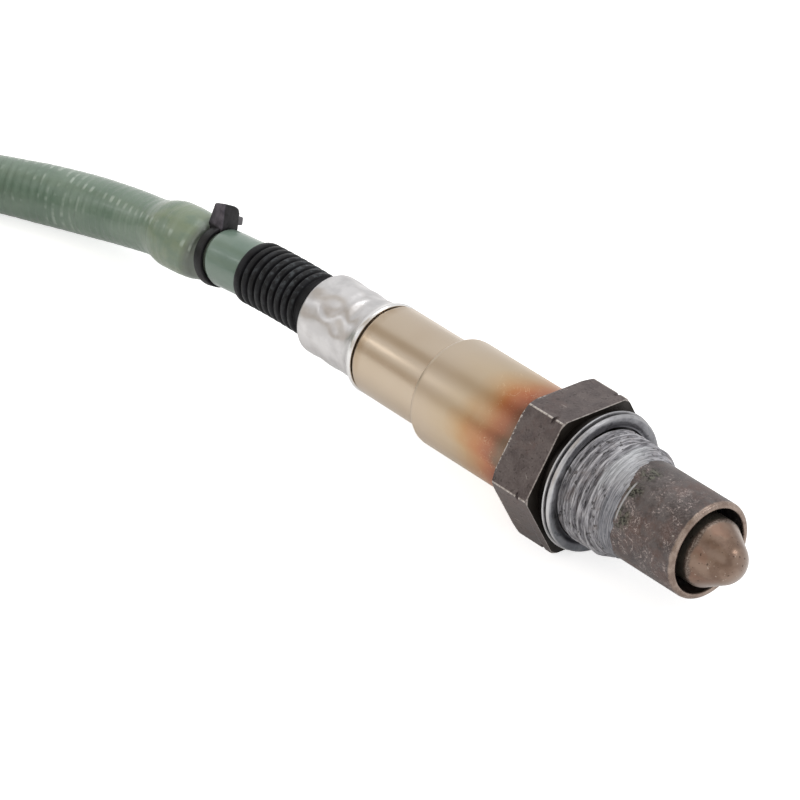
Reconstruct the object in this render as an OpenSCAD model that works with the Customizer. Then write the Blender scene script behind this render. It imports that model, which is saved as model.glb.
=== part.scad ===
// Planar five-wire oxygen sensor for an exhaust boss, with its harness lead and plug.
// The sensor's axis is +X, towards the exhaust gas. The origin is on that axis, in the sealing
// plane at the front of the gasket. The sensor lies on one flat of its hex. Sizes in millimetres.

/* [Shell] */
// Major diameter of the mounting thread
thread_d = 18; // [17:0.25:20]
// Pitch of the mounting thread
thread_pitch = 1.5; // [1:0.25:1.75]
// Front end of the thread, ahead of the sealing plane
thread_end = 7.25; // [7:0.25:12]
// Width across the flats of the hex
hex_af = 22; // [21.5:0.25:26]
// Thickness of the hex
hex_h = 7.9; // [6:0.1:12]
// Radial depth of the chamfer on the hex corners
hex_chamfer = 0.4; // [0.2:0.05:0.8]
// Radial depth of the witness groove turned across the hex corners
witness_depth = 0.4; // [0.2:0.05:0.6]
// Width of the witness groove
witness_w = 0.5; // [0.3:0.1:1]
// Height of the witness groove above the rear face of the hex
witness_x = 5.6; // [4:0.1:5.8]
// Diameter of the neck under the gasket
neck_d = 15.8; // [15.4:0.1:16]
// Length of the shell collar that carries the protective sleeve
collar_seat_len = 4.6; // [4.4:0.1:8]
// Chamfer on the rear edge of the shell collar
seat_chamfer = 0.3; // [0.2:0.05:0.5]
// Length of the spigot that carries the outer protection tube
spigot_len = 4; // [2:0.5:6]

/* [Gasket] */
// Height of the folded sealing gasket
gasket_h = 3; // [2.6:0.1:4]
// Outer diameter of the thin rear flange
flange_d = 22.6; // [22.2:0.1:23]
// Thickness of the rear flange
flange_t = 0.3; // [0.2:0.05:0.5]
// Distance of the flange's front from the hex
flange_x = 1.55; // [1.2:0.05:1.6]
// Width of the flange that stands out past the rear fold
flange_lap = 0.9; // [0.7:0.05:1.1]
// Gap between the front fold and the sealing plane
fold_gap = 0.35; // [0.2:0.05:0.6]
// Outer diameter of the front roll
roll_d = 22.3; // [21.8:0.1:22.6]
// Radius of the front roll's section
roll_r = 0.95; // [0.8:0.05:1.1]
// Depth to which the roll is pressed flat at the sealing plane
roll_flat = 0.15; // [0.05:0.05:0.3]
// Bore of the gasket
gasket_bore = 16.8; // [16.6:0.1:17.2]

/* [Protection tubes] */
// Outer diameter of the outer protection tube
outer_tube_d = 15.4; // [15.2:0.1:15.8]
// Wall of the outer protection tube
outer_tube_wall = 0.5; // [0.3:0.05:0.7]
// Radius of the drawn-in nose of the outer tube
nose_r = 1; // [0.8:0.1:1.4]
// Mouth of the outer tube, ahead of the sealing plane
outer_tube_end = 22.2; // [18:0.1:26]
// Outer diameter of the inner protection tube
inner_tube_d = 10.8; // [10:0.1:11]
// Wall of the inner protection tube
inner_tube_wall = 0.4; // [0.3:0.05:0.6]
// Radius of the inner tube's rounded tip
tip_r = 3.7; // [3:0.1:4]
// Half angle of the inner tube's cone
cone_angle = 30; // [27:1:36]
// Softening of the inner tube's shoulder
shoulder_soft = 0.4; // [0.2:0.05:0.6]
// Tip of the inner tube, ahead of the sealing plane
tip_end = 28.5; // [27:0.1:34]
// Number of gas holes in the inner tube
gas_holes = 6; // [4:1:8]
// Diameter of each gas hole
gas_hole_d = 1.4; // [1:0.1:2]
// Distance of the gas holes ahead of the spigot
gas_hole_x = 2.5; // [1.5:0.1:4]

/* [Element and packing] */
// Width of the planar sensing element
element_w = 4.2; // [3.6:0.1:5]
// Thickness of the sensing element
element_t = 1.4; // [1.2:0.1:1.6]
// Front end of the element, ahead of the sealing plane
element_front = 20; // [17:0.5:24]
// Diameter of the packing bore in the shell
packing_d = 13.2; // [12.8:0.1:13.6]
// Seat of the packing, ahead of the sealing plane
packing_seat = 4; // [2:0.25:5]
// Radial wall of the inner tube's flange that sits in the packing bore
tube_flange_t = 0.5; // [0.4:0.05:0.8]
// Length of the lower ceramic bush
lower_bush_len = 7; // [6:0.25:8]
// Length of the talc ring
talc_len = 4; // [3:0.25:5]
// Length of the upper ceramic bush
upper_bush_len = 5; // [4:0.25:6]
// Thickness of the press ring
press_ring_t = 1; // [0.8:0.1:1.4]
// Radial width of the shell's rear lip and of the press ring
lip_w = 1.6; // [1.2:0.1:2]

/* [Protective sleeve] */
// Outer diameter of the sleeve at the hex
sleeve_d = 17.7; // [17.4:0.1:19]
// Wall of the sleeve
sleeve_wall = 0.5; // [0.4:0.05:0.7]
// Length of the wide part of the sleeve
sleeve_wide_len = 23; // [20:0.5:30]
// Outer diameter of the narrow part of the sleeve
sleeve_narrow_d = 14.9; // [14.6:0.1:15.4]
// Length of the narrow part of the sleeve
sleeve_narrow_len = 14.8; // [13:0.2:20]
// Outer diameter of the sleeve's crimped neck
sleeve_neck_d = 12; // [11.6:0.1:12.2]
// Length of the crimped neck
sleeve_neck_len = 12; // [9:0.5:14]
// Rounding of the sleeve's rear shoulder
sleeve_round = 0.8; // [0.6:0.1:1.2]

/* [Contacts] */
// Diameter of the ceramic contact carrier
carrier_d = 12; // [11:0.1:12.4]
// Length of the contact carrier
carrier_len = 13; // [11:0.5:15]
// Gap between the contact carrier and the cable grommet
carrier_gap = 0.6; // [0.2:0.1:1.5]
// Width of one contact spring
contact_w = 0.9; // [0.7:0.05:1]
// Thickness of one contact spring
contact_t = 0.3; // [0.2:0.05:0.4]
// Distance of the contacts from the front of the carrier
contact_inset = 2; // [1:0.25:3]
// Length of the carrier's rear cavity, as a share of the carrier
cavity_share = 0.6; // [0.55:0.01:0.65]
// Gap round the wires in the carrier's cavity
cavity_gap = 1; // [0.6:0.1:1.2]
// Solid front of each contact's crimp
crimp_floor = 0.3; // [0.2:0.05:0.5]
// Spacing of the contact pads on the element
pad_pitch = 1.3; // [1.2:0.05:1.4]
// Length of the carrier's clamp ring
clamp_ring_len = 4; // [2:0.5:6]
// Length of the wide head of the cable grommet
grommet_head_len = 5.5; // [4:0.5:7]

/* [Collar and boot] */
// Outer diameter of the crimp collar
collar_d = 13.2; // [12.8:0.1:13.4]
// Diameter of the collar's flared front rim
collar_rim_d = 15; // [14.6:0.1:15.4]
// Length of the flare behind the rim
flare_len = 2.2; // [1.6:0.1:3]
// Thickness of the rim
rim_t = 0.5; // [0.4:0.1:0.8]
// Chamfer on the rim
rim_chamfer = 0.2; // [0.1:0.05:0.25]
// Thickness of the collar's rear lip
collar_lip_t = 0.6; // [0.4:0.05:0.9]
// Distance of the rear row of crimp marks from the collar's rear end
crimp_row_x = 4.2; // [3:0.2:5]
// Distance between the two rows of crimp marks
crimp_row_pitch = 4.8; // [4:0.2:6]
// Number of crimp marks in each row round the collar
crimp_count = 6; // [4:1:8]
// Diameter of the ball that presses each crimp mark
crimp_ball_d = 9; // [6:0.5:12]
// Depth of each crimp mark
crimp_depth = 0.2; // [0.1:0.05:0.25]
// Thickness of the boot's flange, which the collar's rear lip holds
boot_flange_t = 1.4; // [1:0.1:2]
// Diameter of the boot between its ribs
boot_d = 9.5; // [9.3:0.1:9.9]
// Diameter over the ribs of the boot
rib_d = 10.5; // [10:0.1:11]
// Radius of each rib's section
rib_r = 0.62; // [0.5:0.02:0.7]
// Number of ribs
rib_count = 9; // [6:1:10]
// Length of the plain boot between the collar and the first rib
boot_plain_len = 2.6; // [1.5:0.1:5]
// Length of the ribbed part
boot_rib_len = 14.4; // [12:0.2:18]
// Diameter of the wire passage in the boot
boot_bore = 7.8; // [7.6:0.1:8.2]
// Depth to which the inner sleeve enters the boot
boot_socket_len = 5; // [3:0.5:8]

/* [Lead] */
// Diameter over one insulated wire
wire_d = 1.5; // [1.2:0.05:1.7]
// Spacing of the wires in each row
wire_pitch = 2.6; // [2.4:0.05:2.7]
// Height between the two rows of wires
row_pitch = 2.4; // [2:0.1:2.6]
// Diameter of the inner sleeve
inner_sleeve_d = 9.2; // [9:0.1:9.2]
// Wall of the inner sleeve
inner_sleeve_wall = 0.5; // [0.3:0.05:0.6]
// Diameter of the harness sleeve
cable_d = 9.2; // [9:0.05:9.4]
// Diameter of the harness sleeve's opened front end
opened_d = 11.2; // [10.4:0.1:11.4]
// Width of the cable tie's strap
tie_w = 2.4; // [2:0.1:2.6]
// Depth to which the tie pinches the sleeves
tie_bite = 0.5; // [0.3:0.05:0.6]
// Thickness of the cable tie's strap
tie_t = 0.8; // [0.6:0.05:1]
// Length of the cable tie's head along the strap
tie_head_l = 3.6; // [3:0.1:5]
// Width of the cable tie's head
tie_head_w = 2.6; // [2.4:0.1:3.4]
// Height of the cable tie's head
tie_head_h = 3.7; // [3:0.1:4.2]
// Chamfer on the long edges of the tie's head
tie_chamfer = 0.4; // [0.2:0.02:0.6]
// Length of the tail left on the cut tie
tie_tail_l = 1.2; // [0.8:0.1:3]
// Angle of the head round the sleeve, from straight up
tie_angle = -18; // [-40:1:0]

/* [Hank and plug] */
// Bend radius of the hank at the middle of the cable
hank_r = 28; // [27.6:0.1:29]
// Length of the hank's straight runs
hank_run = 58; // [52:1:60]
// Length of the hank's last run, on top of the others
top_run = 40; // [38:0.5:42]
// Distance of the hank's tie from the near fold's centre
hank_tie_back = 26; // [22:0.5:30]
// Thickness of the tie round the hank
hank_tie_t = 0.8; // [0.6:0.1:1]
// Width of the tie round the hank
hank_tie_w = 4; // [3:0.5:6]
// Depth to which the hank's tie bites into the sleeve
hank_tie_bite = 0.3; // [0.1:0.05:0.4]
// Length of the head of the hank's tie, along the sleeve
hank_head_l = 6.4; // [5:0.2:7]
// Height of the head of the hank's tie
hank_head_h = 6; // [5:0.2:7]
// Outer diameter of the shrink tube on the sleeve's end
shrink_d = 10; // [9.8:0.1:10.2]
// Length of the shrink tube
shrink_len = 12; // [9:0.5:14]
// Bend radius of the wires between the sleeve and the plug, seen from above
wire_bend_r = 13; // [12:0.25:13.5]
// Length of the plug's body
plug_len = 30; // [28:0.5:36]
// Width of the plug's body
plug_w = 17; // [16.5:0.5:20]
// Height of the plug's body
plug_h = 13; // [12.5:0.25:14]
// Length of the plug's nose
nose_len = 8; // [7.5:0.5:10]
// Wall between the nose and the cavities
nose_wall = 1.6; // [1.4:0.1:2]
// Width of the plug's latch
latch_w = 5; // [4:0.25:6]
// Height of the plug's latch
latch_h = 1.4; // [1:0.1:1.8]
// Distance of the latch from the wire seal's rear
latch_x = 6; // [4:0.5:8]
// Length of the latch ahead of the plug's body
latch_over = 3; // [2:0.25:5]
// Distance of the terminal lock behind the front of the plug's body
lock_back = 3; // [2:0.25:4]
// Wall on the closed side of the terminal lock's slot
lock_wall = 1; // [0.8:0.1:1.4]
// Radial thickness of the plug's face seal
face_seal_t = 1.2; // [0.8:0.1:1.4]
// Length of the plug's face seal
face_seal_l = 1.6; // [1.2:0.1:2]
// Length of the trim resistor
resistor_l = 4.6; // [4:0.1:5]
// Width of the trim resistor
resistor_w = 4; // [3.4:0.1:4.4]
// Thickness of the trim resistor
resistor_t = 1.6; // [1.2:0.1:1.8]
// Wall over the trim resistor
resistor_cover = 0.8; // [0.6:0.05:1]
// Width of a terminal
terminal_w = 1.7; // [1.5:0.05:1.75]
// Wall of a terminal's socket
socket_wall = 0.3; // [0.25:0.05:0.4]
// Depth of a terminal's socket
socket_l = 5; // [4:0.25:6]
// Depth of the wire in its terminal
wire_grip = 2; // [1.5:0.1:2.5]
// Distance of the terminals from the front of the plug
terminal_inset = 1; // [0.6:0.1:1.5]
// Thickness of the plug's rear cover
cover_t = 1.6; // [1.2:0.1:2]
// Thickness of the plug's wire seal
seal_t = 5; // [4:0.5:6]
// Thickness of the terminal lock
lock_t = 1.6; // [1.2:0.1:2]

/* [Hidden] */

round_fn = 96;
fine_fn = 48;
cut = 0.5;
fit_gap = 0.05;

// Height of the surface that the sensor lies on
floor_z = -hex_af / 2;

// Shell
hex_front = -gasket_h;
hex_rear = hex_front - hex_h;
hex_corner_r = hex_af / 2 / cos(30);
thread_minor_r = thread_d / 2 - 0.61 * thread_pitch;
thread_start = -0.05;
collar_seat_r = sleeve_d / 2 - sleeve_wall - fit_gap;
collar_seat_end = hex_rear - collar_seat_len;
spigot_r = outer_tube_d / 2 - outer_tube_wall - fit_gap;
spigot_end = thread_end + spigot_len;
inner_passage_r = inner_tube_d / 2 + fit_gap;

// Packing, from the seat towards the rear
flange_rear = packing_seat - tube_flange_t;
lower_bush_rear = flange_rear - lower_bush_len;
talc_rear = lower_bush_rear - talc_len;
upper_bush_rear = talc_rear - upper_bush_len;
press_ring_rear = upper_bush_rear - press_ring_t;
packing_r = packing_d / 2 - fit_gap;
lip_r = packing_d / 2 - lip_w;

// The gasket rests on the surface with its flange, so it sits high on the neck by this much
gasket_lift = max(0, flange_d / 2 + floor_z);

// Sleeve stations
wide_end = hex_rear - sleeve_wide_len;
narrow_end = wide_end - sleeve_narrow_len;
neck_end = narrow_end - sleeve_neck_len;
narrow_bore_r = sleeve_narrow_d / 2 - sleeve_wall;
neck_bore_r = sleeve_neck_d / 2 - sleeve_wall;

// Grommet, carrier and contacts
grommet_front = narrow_end + sleeve_wall + grommet_head_len;
carrier_rear = grommet_front + carrier_gap;
carrier_front = carrier_rear + carrier_len;
element_rear = carrier_rear + carrier_len / 2;
contact_front = carrier_front - contact_inset;
blade_rear = element_rear - 0.5;
crimp_front = grommet_front + fit_gap;
crimp_end = crimp_front + carrier_len / 3;

// Collar and boot
rim_front = narrow_end - 4 * fit_gap;
boot_front = neck_end - fit_gap;
collar_rear = boot_front - boot_flange_t - collar_lip_t;
boot_rear = collar_rear - boot_plain_len - boot_rib_len;
rib_pitch = boot_rib_len / rib_count;

// Five wires: three in the lower row and two in the upper row
WIRES = [[-wire_pitch, -row_pitch / 2], [0, -row_pitch / 2], [wire_pitch, -row_pitch / 2],
    [-wire_pitch / 2, row_pitch / 2], [wire_pitch / 2, row_pitch / 2]];
PADS = [[-pad_pitch, -1], [0, -1], [pad_pitch, -1], [-pad_pitch / 2, 1], [pad_pitch / 2, 1]];

// Routes of the inner sleeve and of the harness sleeve, laid out by eye: from the boot down to
// the surface, and on to the hank
INNER_ROUTE = [[-75, 0, 0], [-80.2, 0, 0], [-82.2, -0.1, -0.3], [-84.5, -0.25, -0.6],
    [-86.36, -0.38, -0.95], [-87.36, -0.4, -1.19]];
ROUTE = [[-87.4, -0.4, -1.2], [-90.3, -0.46, -1.9], [-92, -0.6, -1.9], [-94.5, -0.9, -1.55],
    [-101, -0.9, -2.25], [-104.5, -0.8, -3], [-109.5, -1.05, -3.8], [-114, -1.5, -4.5],
    [-120, -2.6, -5.3], [-127, -4.9, -5.9], [-134, -8.2, -6.2], [-140, -11.4, -6.4],
    [-145, -13.3, -6.4], [-148, -14, -6.4], [-150, -14, -6.4]];
// How far the harness sleeve is opened at each point behind the tie, from 0 to 1
OPENED = [0, 0, 0.15, 0.9, 0.8, 0, 0.15, 0.25, 0.45, 0.45, 0.2, 0, 0, 0, 0];
pinched_r = cable_d / 2 - tie_bite;
tie_place = (ROUTE[0] + ROUTE[1]) / 2;
tie_dir = ROUTE[0] - ROUTE[1];

// Hank: near and far fold centres, and the two levels of cable
hank_join = ROUTE[len(ROUTE) - 1];
join_lap = 2;
hank_near = [hank_join.x - join_lap, hank_join.y - hank_r];
hank_far = [hank_near.x - hank_run, hank_near.y];
level_h = cable_d;
run_end = hank_near.x - top_run;
upper_z = floor_z + 1.5 * cable_d;
hank_tie_x = hank_near.x - hank_tie_back;

// Wires between the sleeve's end and the plug, and the plug's place
wires_x = run_end - shrink_len;
bend_steps = 9;
plug_y = hank_near.y + hank_r - 2 * wire_bend_r;
plug_z = floor_z + plug_h / 2;
bend_y = plug_y + wire_bend_r;
bend_z = (upper_z + plug_z) / 2;
bend_r = norm([wire_bend_r, (upper_z - plug_z) / 2]);
bend_tilt = atan2((upper_z - plug_z) / 2, wire_bend_r);
plug_rear = wires_x + wire_bend_r / 2;
plug_front = plug_rear + plug_len;
nose_w = 2 * wire_pitch + terminal_w + 2 * nose_wall;
nose_h = row_pitch + terminal_w + 2 * nose_wall;
body_front = plug_front - nose_len;
seal_rear = plug_rear + cover_t;
seal_front = seal_rear + seal_t;
lock_x = body_front - lock_back;
resistor_x = (seal_front + lock_x) / 2;
resistor_z = plug_z + plug_h / 2 - resistor_cover - 2 * fit_gap - resistor_t / 2;

// Place of one wire round the bend, as a radial and a sideways offset
function bend_u(w) = -(w.x * cos(bend_tilt) + w.y * sin(bend_tilt));
function bend_w(w) = -w.x * sin(bend_tilt) + w.y * cos(bend_tilt);
function start_y(w) = bend_y + (bend_r + bend_u(w)) * cos(bend_tilt) - bend_w(w) * sin(bend_tilt);
function start_z(w) = bend_z + (bend_r + bend_u(w)) * sin(bend_tilt) + bend_w(w) * cos(bend_tilt);

// Route of one wire: straight out of the shrink tube, half a turn, straight into the plug
function wire_route(w) = concat(
    [[wires_x + shrink_len / 2 - fit_gap, start_y(w), start_z(w)]],
    [for (k = [0 : bend_steps])
        let (a = 180 * k / bend_steps, r = bend_r + bend_u(w),
            out = r * cos(a), side = bend_w(w))
        [wires_x - r * sin(a), bend_y + out * cos(bend_tilt) - side * sin(bend_tilt),
            bend_z + out * sin(bend_tilt) + side * cos(bend_tilt)]],
    [[seal_front + wire_grip, plug_y + w.x, plug_z + w.y]]);

// Direction of a route at one of its points
function unit(v) = v / norm(v);
function heading(pts, i) =
    unit(pts[min(i + 1, len(pts) - 1)] - pts[max(i - 1, 0)]);
// One ring of a swept tube, square to the route
function ring(p, t, r, n) =
    let (side = unit(cross(t, [0, 0, 1])), up = cross(side, t))
    [for (k = [0 : n - 1]) p + r * (cos(360 * k / n) * side + sin(360 * k / n) * up)];

// Turns a profile of [radius, station] points round the X axis
module turned() {
    rotate([0, 90, 0]) rotate_extrude($fn = round_fn) children();
}

// Flat profile from the axis to radius r, rounded at its rear end
module rear_stub(r, rear, front, rad) {
    translate([0, rear + rad]) square([r, front - rear - rad]);
    translate([0, rear]) square([r - rad, rad + cut]);
    translate([r - rad, rear + rad]) circle(r = rad, $fn = fine_fn);
}

// Flat profile of a ring between two radii
module band(r_in, r_out, rear, front) {
    translate([r_in, rear]) square([r_out - r_in, front - rear]);
}

// Rod along X through a point of the YZ plane
module rod(r, rear, front, y, z) {
    translate([rear, y, z]) rotate([0, 90, 0]) cylinder(r = r, h = front - rear, $fn = fine_fn);
}

// Block along X, centred on a point of the YZ plane
module bar(w, h, rear, front, y, z) {
    translate([rear, y - w / 2, z - h / 2]) cube([front - rear, w, h]);
}

// Closed tube swept along points, one radius for each point
module swept(pts, radii, n) {
    rings = [for (i = [0 : len(pts) - 1]) ring(pts[i], heading(pts, i), radii[i], n)];
    points = [for (r = rings) for (p = r) p];
    last = len(pts) - 1;
    sides = [for (i = [0 : last - 1]) for (k = [0 : n - 1])
        [i * n + k, i * n + (k + 1) % n, (i + 1) * n + (k + 1) % n, (i + 1) * n + k]];
    front = [[for (k = [n - 1 : -1 : 0]) k]];
    back = [[for (k = [0 : n - 1]) last * n + k]];
    polyhedron(points = points, faces = concat(front, sides, back), convexity = 4);
}

module hex_blank() {
    intersection() {
        translate([hex_rear, 0, 0]) rotate([0, 90, 0]) rotate([0, 0, 30])
            cylinder(r = hex_corner_r, h = hex_h, $fn = 6);
        turned() polygon([[0, hex_rear], [hex_corner_r - 2 * hex_chamfer, hex_rear],
            [hex_corner_r, hex_rear + hex_chamfer], [hex_corner_r, hex_front - hex_chamfer],
            [hex_corner_r - hex_chamfer, hex_front], [0, hex_front]]);
    }
}

module hex_shell() {
    color([0.33, 0.30, 0.29]) difference() {
        union() {
            hex_blank();
            turned() polygon([[0, collar_seat_end],
                [collar_seat_r - seat_chamfer, collar_seat_end],
                [collar_seat_r, collar_seat_end + seat_chamfer], [collar_seat_r, hex_rear + cut],
                [0, hex_rear + cut]]);
            turned() polygon([[0, hex_front - cut], [neck_d / 2, hex_front - cut],
                [neck_d / 2, thread_start - thread_pitch / 2],
                [thread_minor_r, thread_start - thread_pitch / 2],
                [thread_d / 2, thread_start],
                [thread_d / 2, thread_end - thread_pitch / 2],
                [thread_minor_r, thread_end], [spigot_r, thread_end], [spigot_r, spigot_end],
                [0, spigot_end]]);
        }
        turned() band(hex_corner_r - witness_depth, hex_corner_r + cut, hex_rear + witness_x,
            hex_rear + witness_x + witness_w);
        turned() polygon([[0, collar_seat_end - cut], [lip_r, collar_seat_end - cut],
            [lip_r, press_ring_rear], [packing_d / 2, press_ring_rear],
            [packing_d / 2, packing_seat], [inner_passage_r, packing_seat],
            [inner_passage_r, spigot_end + cut], [0, spigot_end + cut]]);
    }
}

module sealing_gasket() {
    color([0.62, 0.63, 0.66]) translate([0, 0, gasket_lift]) turned() {
        band(gasket_bore / 2, flange_d / 2 - flange_lap, hex_front, hex_front + flange_x);
        band(gasket_bore / 2, flange_d / 2, hex_front + flange_x - flange_t,
            hex_front + flange_x);
        band(thread_d / 2 + fit_gap, roll_d / 2 - roll_r, hex_front + flange_x,
            -fold_gap);
        intersection() {
            translate([roll_d / 2 - roll_r, roll_flat - roll_r]) circle(r = roll_r, $fn = fine_fn);
            band(gasket_bore / 2, flange_d / 2, hex_front, 0);
        }
    }
}

module outer_protection_tube() {
    r = outer_tube_d / 2;
    mid = outer_tube_end - nose_r;
    color([0.40, 0.37, 0.35]) turned() difference() {
        union() {
            band(0, r, thread_end, mid);
            band(0, r - nose_r, mid - cut, outer_tube_end);
            translate([r - nose_r, mid]) circle(r = nose_r, $fn = fine_fn);
        }
        band(0, r - outer_tube_wall, thread_end - cut, mid);
        translate([r - nose_r, mid]) circle(r = nose_r - outer_tube_wall, $fn = fine_fn);
        band(0, r - nose_r, mid - cut, outer_tube_end + cut);
    }
}

// Bullet profile set in by a wall thickness from the outside of the inner tube
module bullet(inset, rear) {
    r = inner_tube_d / 2 - inset;
    centre = tip_end - tip_r;
    ball = tip_r - inset;
    touch_r = ball * cos(cone_angle);
    touch_x = centre + ball * sin(cone_angle);
    shoulder_x = touch_x - (r - touch_r) / tan(cone_angle);
    polygon([[0, rear], [r, rear], [r, shoulder_x - shoulder_soft],
        [r - shoulder_soft * tan(cone_angle), shoulder_x + shoulder_soft], [touch_r, touch_x],
        [0, touch_x]]);
    intersection() {
        translate([0, centre]) circle(r = ball, $fn = round_fn);
        translate([0, centre]) square([ball, ball]);
    }
}

module inner_protection_tube() {
    hole_x = spigot_end + gas_hole_x;
    color([0.50, 0.40, 0.34]) difference() {
        turned() difference() {
            union() {
                bullet(0, flange_rear);
                band(0, packing_r, flange_rear, packing_seat);
            }
            bullet(inner_tube_wall, flange_rear - cut);
        }
        for (k = [0 : gas_holes - 1])
            rotate([360 * k / gas_holes, 0, 0]) translate([hole_x, 0, 0])
                cylinder(d = gas_hole_d, h = inner_tube_d, $fn = fine_fn);
    }
}

module sensing_element() {
    color([0.88, 0.87, 0.83])
        bar(element_w, element_t, element_rear, element_front, 0, 0);
}

// Ceramic or powder plug of the packing, with the slot for the element
module packing_disc(rear, front) {
    difference() {
        turned() band(0, packing_r, rear, front);
        bar(element_w + 2 * fit_gap, element_t + 2 * fit_gap, rear - cut, front + cut, 0, 0);
    }
}

module lower_ceramic_bush() {
    color([0.93, 0.92, 0.88]) packing_disc(lower_bush_rear, flange_rear);
}

module talc_seal() {
    color([0.80, 0.79, 0.74]) packing_disc(talc_rear, lower_bush_rear);
}

module upper_ceramic_bush() {
    color([0.93, 0.92, 0.88]) packing_disc(upper_bush_rear, talc_rear);
}

module press_ring() {
    color([0.55, 0.55, 0.56])
        turned() band(lip_r, packing_r, press_ring_rear, upper_bush_rear);
}

// Outline of the protective sleeve, set in by a wall thickness
module sleeve_outline(inset, front) {
    step = (sleeve_d - sleeve_narrow_d) / 2;
    rear_stub(sleeve_d / 2 - inset, wide_end + inset, front, step - inset / 2);
    rear_stub(sleeve_narrow_d / 2 - inset, narrow_end + inset, wide_end + 2 * step,
        sleeve_round - inset / 2);
    band(0, sleeve_neck_d / 2 - inset, neck_end - (inset > 0 ? cut : 0),
        narrow_end + 2 * (sleeve_round + sleeve_wall));
}

module protective_sleeve() {
    color([0.74, 0.66, 0.55]) turned() difference() {
        sleeve_outline(0, hex_rear);
        sleeve_outline(sleeve_wall, hex_rear + cut);
    }
}

module contact_carrier() {
    cavity_w = 2 * wire_pitch + 2 * contact_w + cavity_gap;
    cavity_h = row_pitch + 2 * contact_w + cavity_gap;
    color([0.93, 0.92, 0.88]) difference() {
        turned() band(0, carrier_d / 2, carrier_rear, carrier_front);
        bar(element_w + 2 * fit_gap, element_t + 4 * contact_t, carrier_rear - cut,
            carrier_front + cut, 0, 0);
        bar(cavity_w, cavity_h, carrier_rear - cut, carrier_rear + cavity_share * carrier_len,
            0, 0);
    }
}

// Five springs, each a blade on the element, a bent neck and a crimp on its wire
module contact_springs() {
    join = 0.1;
    color([0.80, 0.74, 0.55]) for (k = [0 : len(WIRES) - 1]) {
        pad_z = PADS[k].y * (element_t + contact_t) / 2;
        bar(contact_w, contact_t, blade_rear, contact_front, PADS[k].x, pad_z);
        hull() {
            bar(contact_w, contact_t, blade_rear - join, blade_rear + join, PADS[k].x, pad_z);
            bar(contact_w, contact_t, crimp_end, crimp_end + 2 * join, WIRES[k].x, WIRES[k].y);
        }
        difference() {
            rod(wire_d / 2 + contact_t, crimp_front, crimp_end + join, WIRES[k].x, WIRES[k].y);
            rod(wire_d / 2 + fit_gap / 2, crimp_front - cut, crimp_end - crimp_floor,
                WIRES[k].x, WIRES[k].y);
        }
    }
}

module carrier_clamp_ring() {
    color([0.70, 0.70, 0.72]) turned()
        band(carrier_d / 2 + fit_gap / 2, narrow_bore_r - fit_gap / 2, carrier_rear,
            carrier_rear + clamp_ring_len);
}

module cable_grommet() {
    color([0.10, 0.10, 0.11]) difference() {
        turned() {
            band(0, narrow_bore_r - fit_gap, narrow_end + sleeve_wall + sleeve_round,
                grommet_front);
            band(0, neck_bore_r - fit_gap, neck_end, grommet_front - cut);
        }
        for (w = WIRES) rod(wire_d / 2 + fit_gap, neck_end - cut, grommet_front + cut, w.x, w.y);
    }
}

module crimp_collar() {
    r = collar_d / 2;
    rim_r = collar_rim_d / 2;
    bore = sleeve_neck_d / 2 + fit_gap;
    rim_rear = rim_front - rim_t;
    flare_rear = rim_front - flare_len;
    color([0.82, 0.82, 0.83]) difference() {
        turned() difference() {
            union() {
                rear_stub(r, collar_rear, flare_rear + cut, collar_lip_t);
                polygon([[0, flare_rear], [r, flare_rear],
                    [rim_r - 2 * rim_chamfer, rim_rear - 2 * rim_chamfer], [rim_r, rim_rear],
                    [rim_r, rim_front - rim_chamfer], [rim_r - rim_chamfer, rim_front],
                    [0, rim_front]]);
            }
            polygon([[0, collar_rear - cut], [boot_d / 2 + fit_gap, collar_rear - cut],
                [boot_d / 2 + fit_gap, collar_rear + collar_lip_t],
                [bore, collar_rear + collar_lip_t], [bore, rim_rear],
                [rim_r - rim_t, rim_front + fit_gap], [0, rim_front + fit_gap]]);
        }
        for (row = [0 : 1]) for (k = [0 : crimp_count - 1])
            rotate([360 * (k + row / 2) / crimp_count, 0, 0])
                translate([collar_rear + crimp_row_x + row * crimp_row_pitch, 0,
                    r + crimp_ball_d / 2 - crimp_depth])
                    sphere(d = crimp_ball_d, $fn = fine_fn);
    }
}

module ribbed_boot() {
    first_rib = collar_rear - boot_plain_len - rib_pitch / 2;
    color([0.07, 0.07, 0.08]) turned() difference() {
        union() {
            band(0, boot_d / 2, boot_rear, boot_front);
            band(0, neck_bore_r, collar_rear + collar_lip_t + fit_gap, boot_front);
            for (k = [0 : rib_count - 1])
                translate([rib_d / 2 - rib_r, first_rib - k * rib_pitch])
                    circle(r = rib_r, $fn = fine_fn);
        }
        band(0, boot_bore / 2, boot_rear - cut, boot_front + cut);
        band(0, inner_sleeve_d / 2 + fit_gap / 2, boot_rear - cut, boot_rear + boot_socket_len);
    }
}

module lead_wires() {
    color([0.85, 0.85, 0.83]) for (w = WIRES)
        rod(wire_d / 2, boot_rear - wire_d, crimp_end - crimp_floor - fit_gap, w.x, w.y);
}

module inner_sleeve() {
    last = len(INNER_ROUTE) - 1;
    radii = [for (i = [0 : last]) i == last ? pinched_r : inner_sleeve_d / 2];
    longer = [for (i = [0 : last]) INNER_ROUTE[i] + (i == 0 ? [1, 0, 0] : [0, 0, 0])
        + (i == last ? -cut * unit(tie_dir) : [0, 0, 0])];
    color([0.50, 0.62, 0.56]) difference() {
        swept(INNER_ROUTE, radii, 24);
        swept(longer, [for (r = radii) r - inner_sleeve_wall], 24);
    }
}

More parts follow.
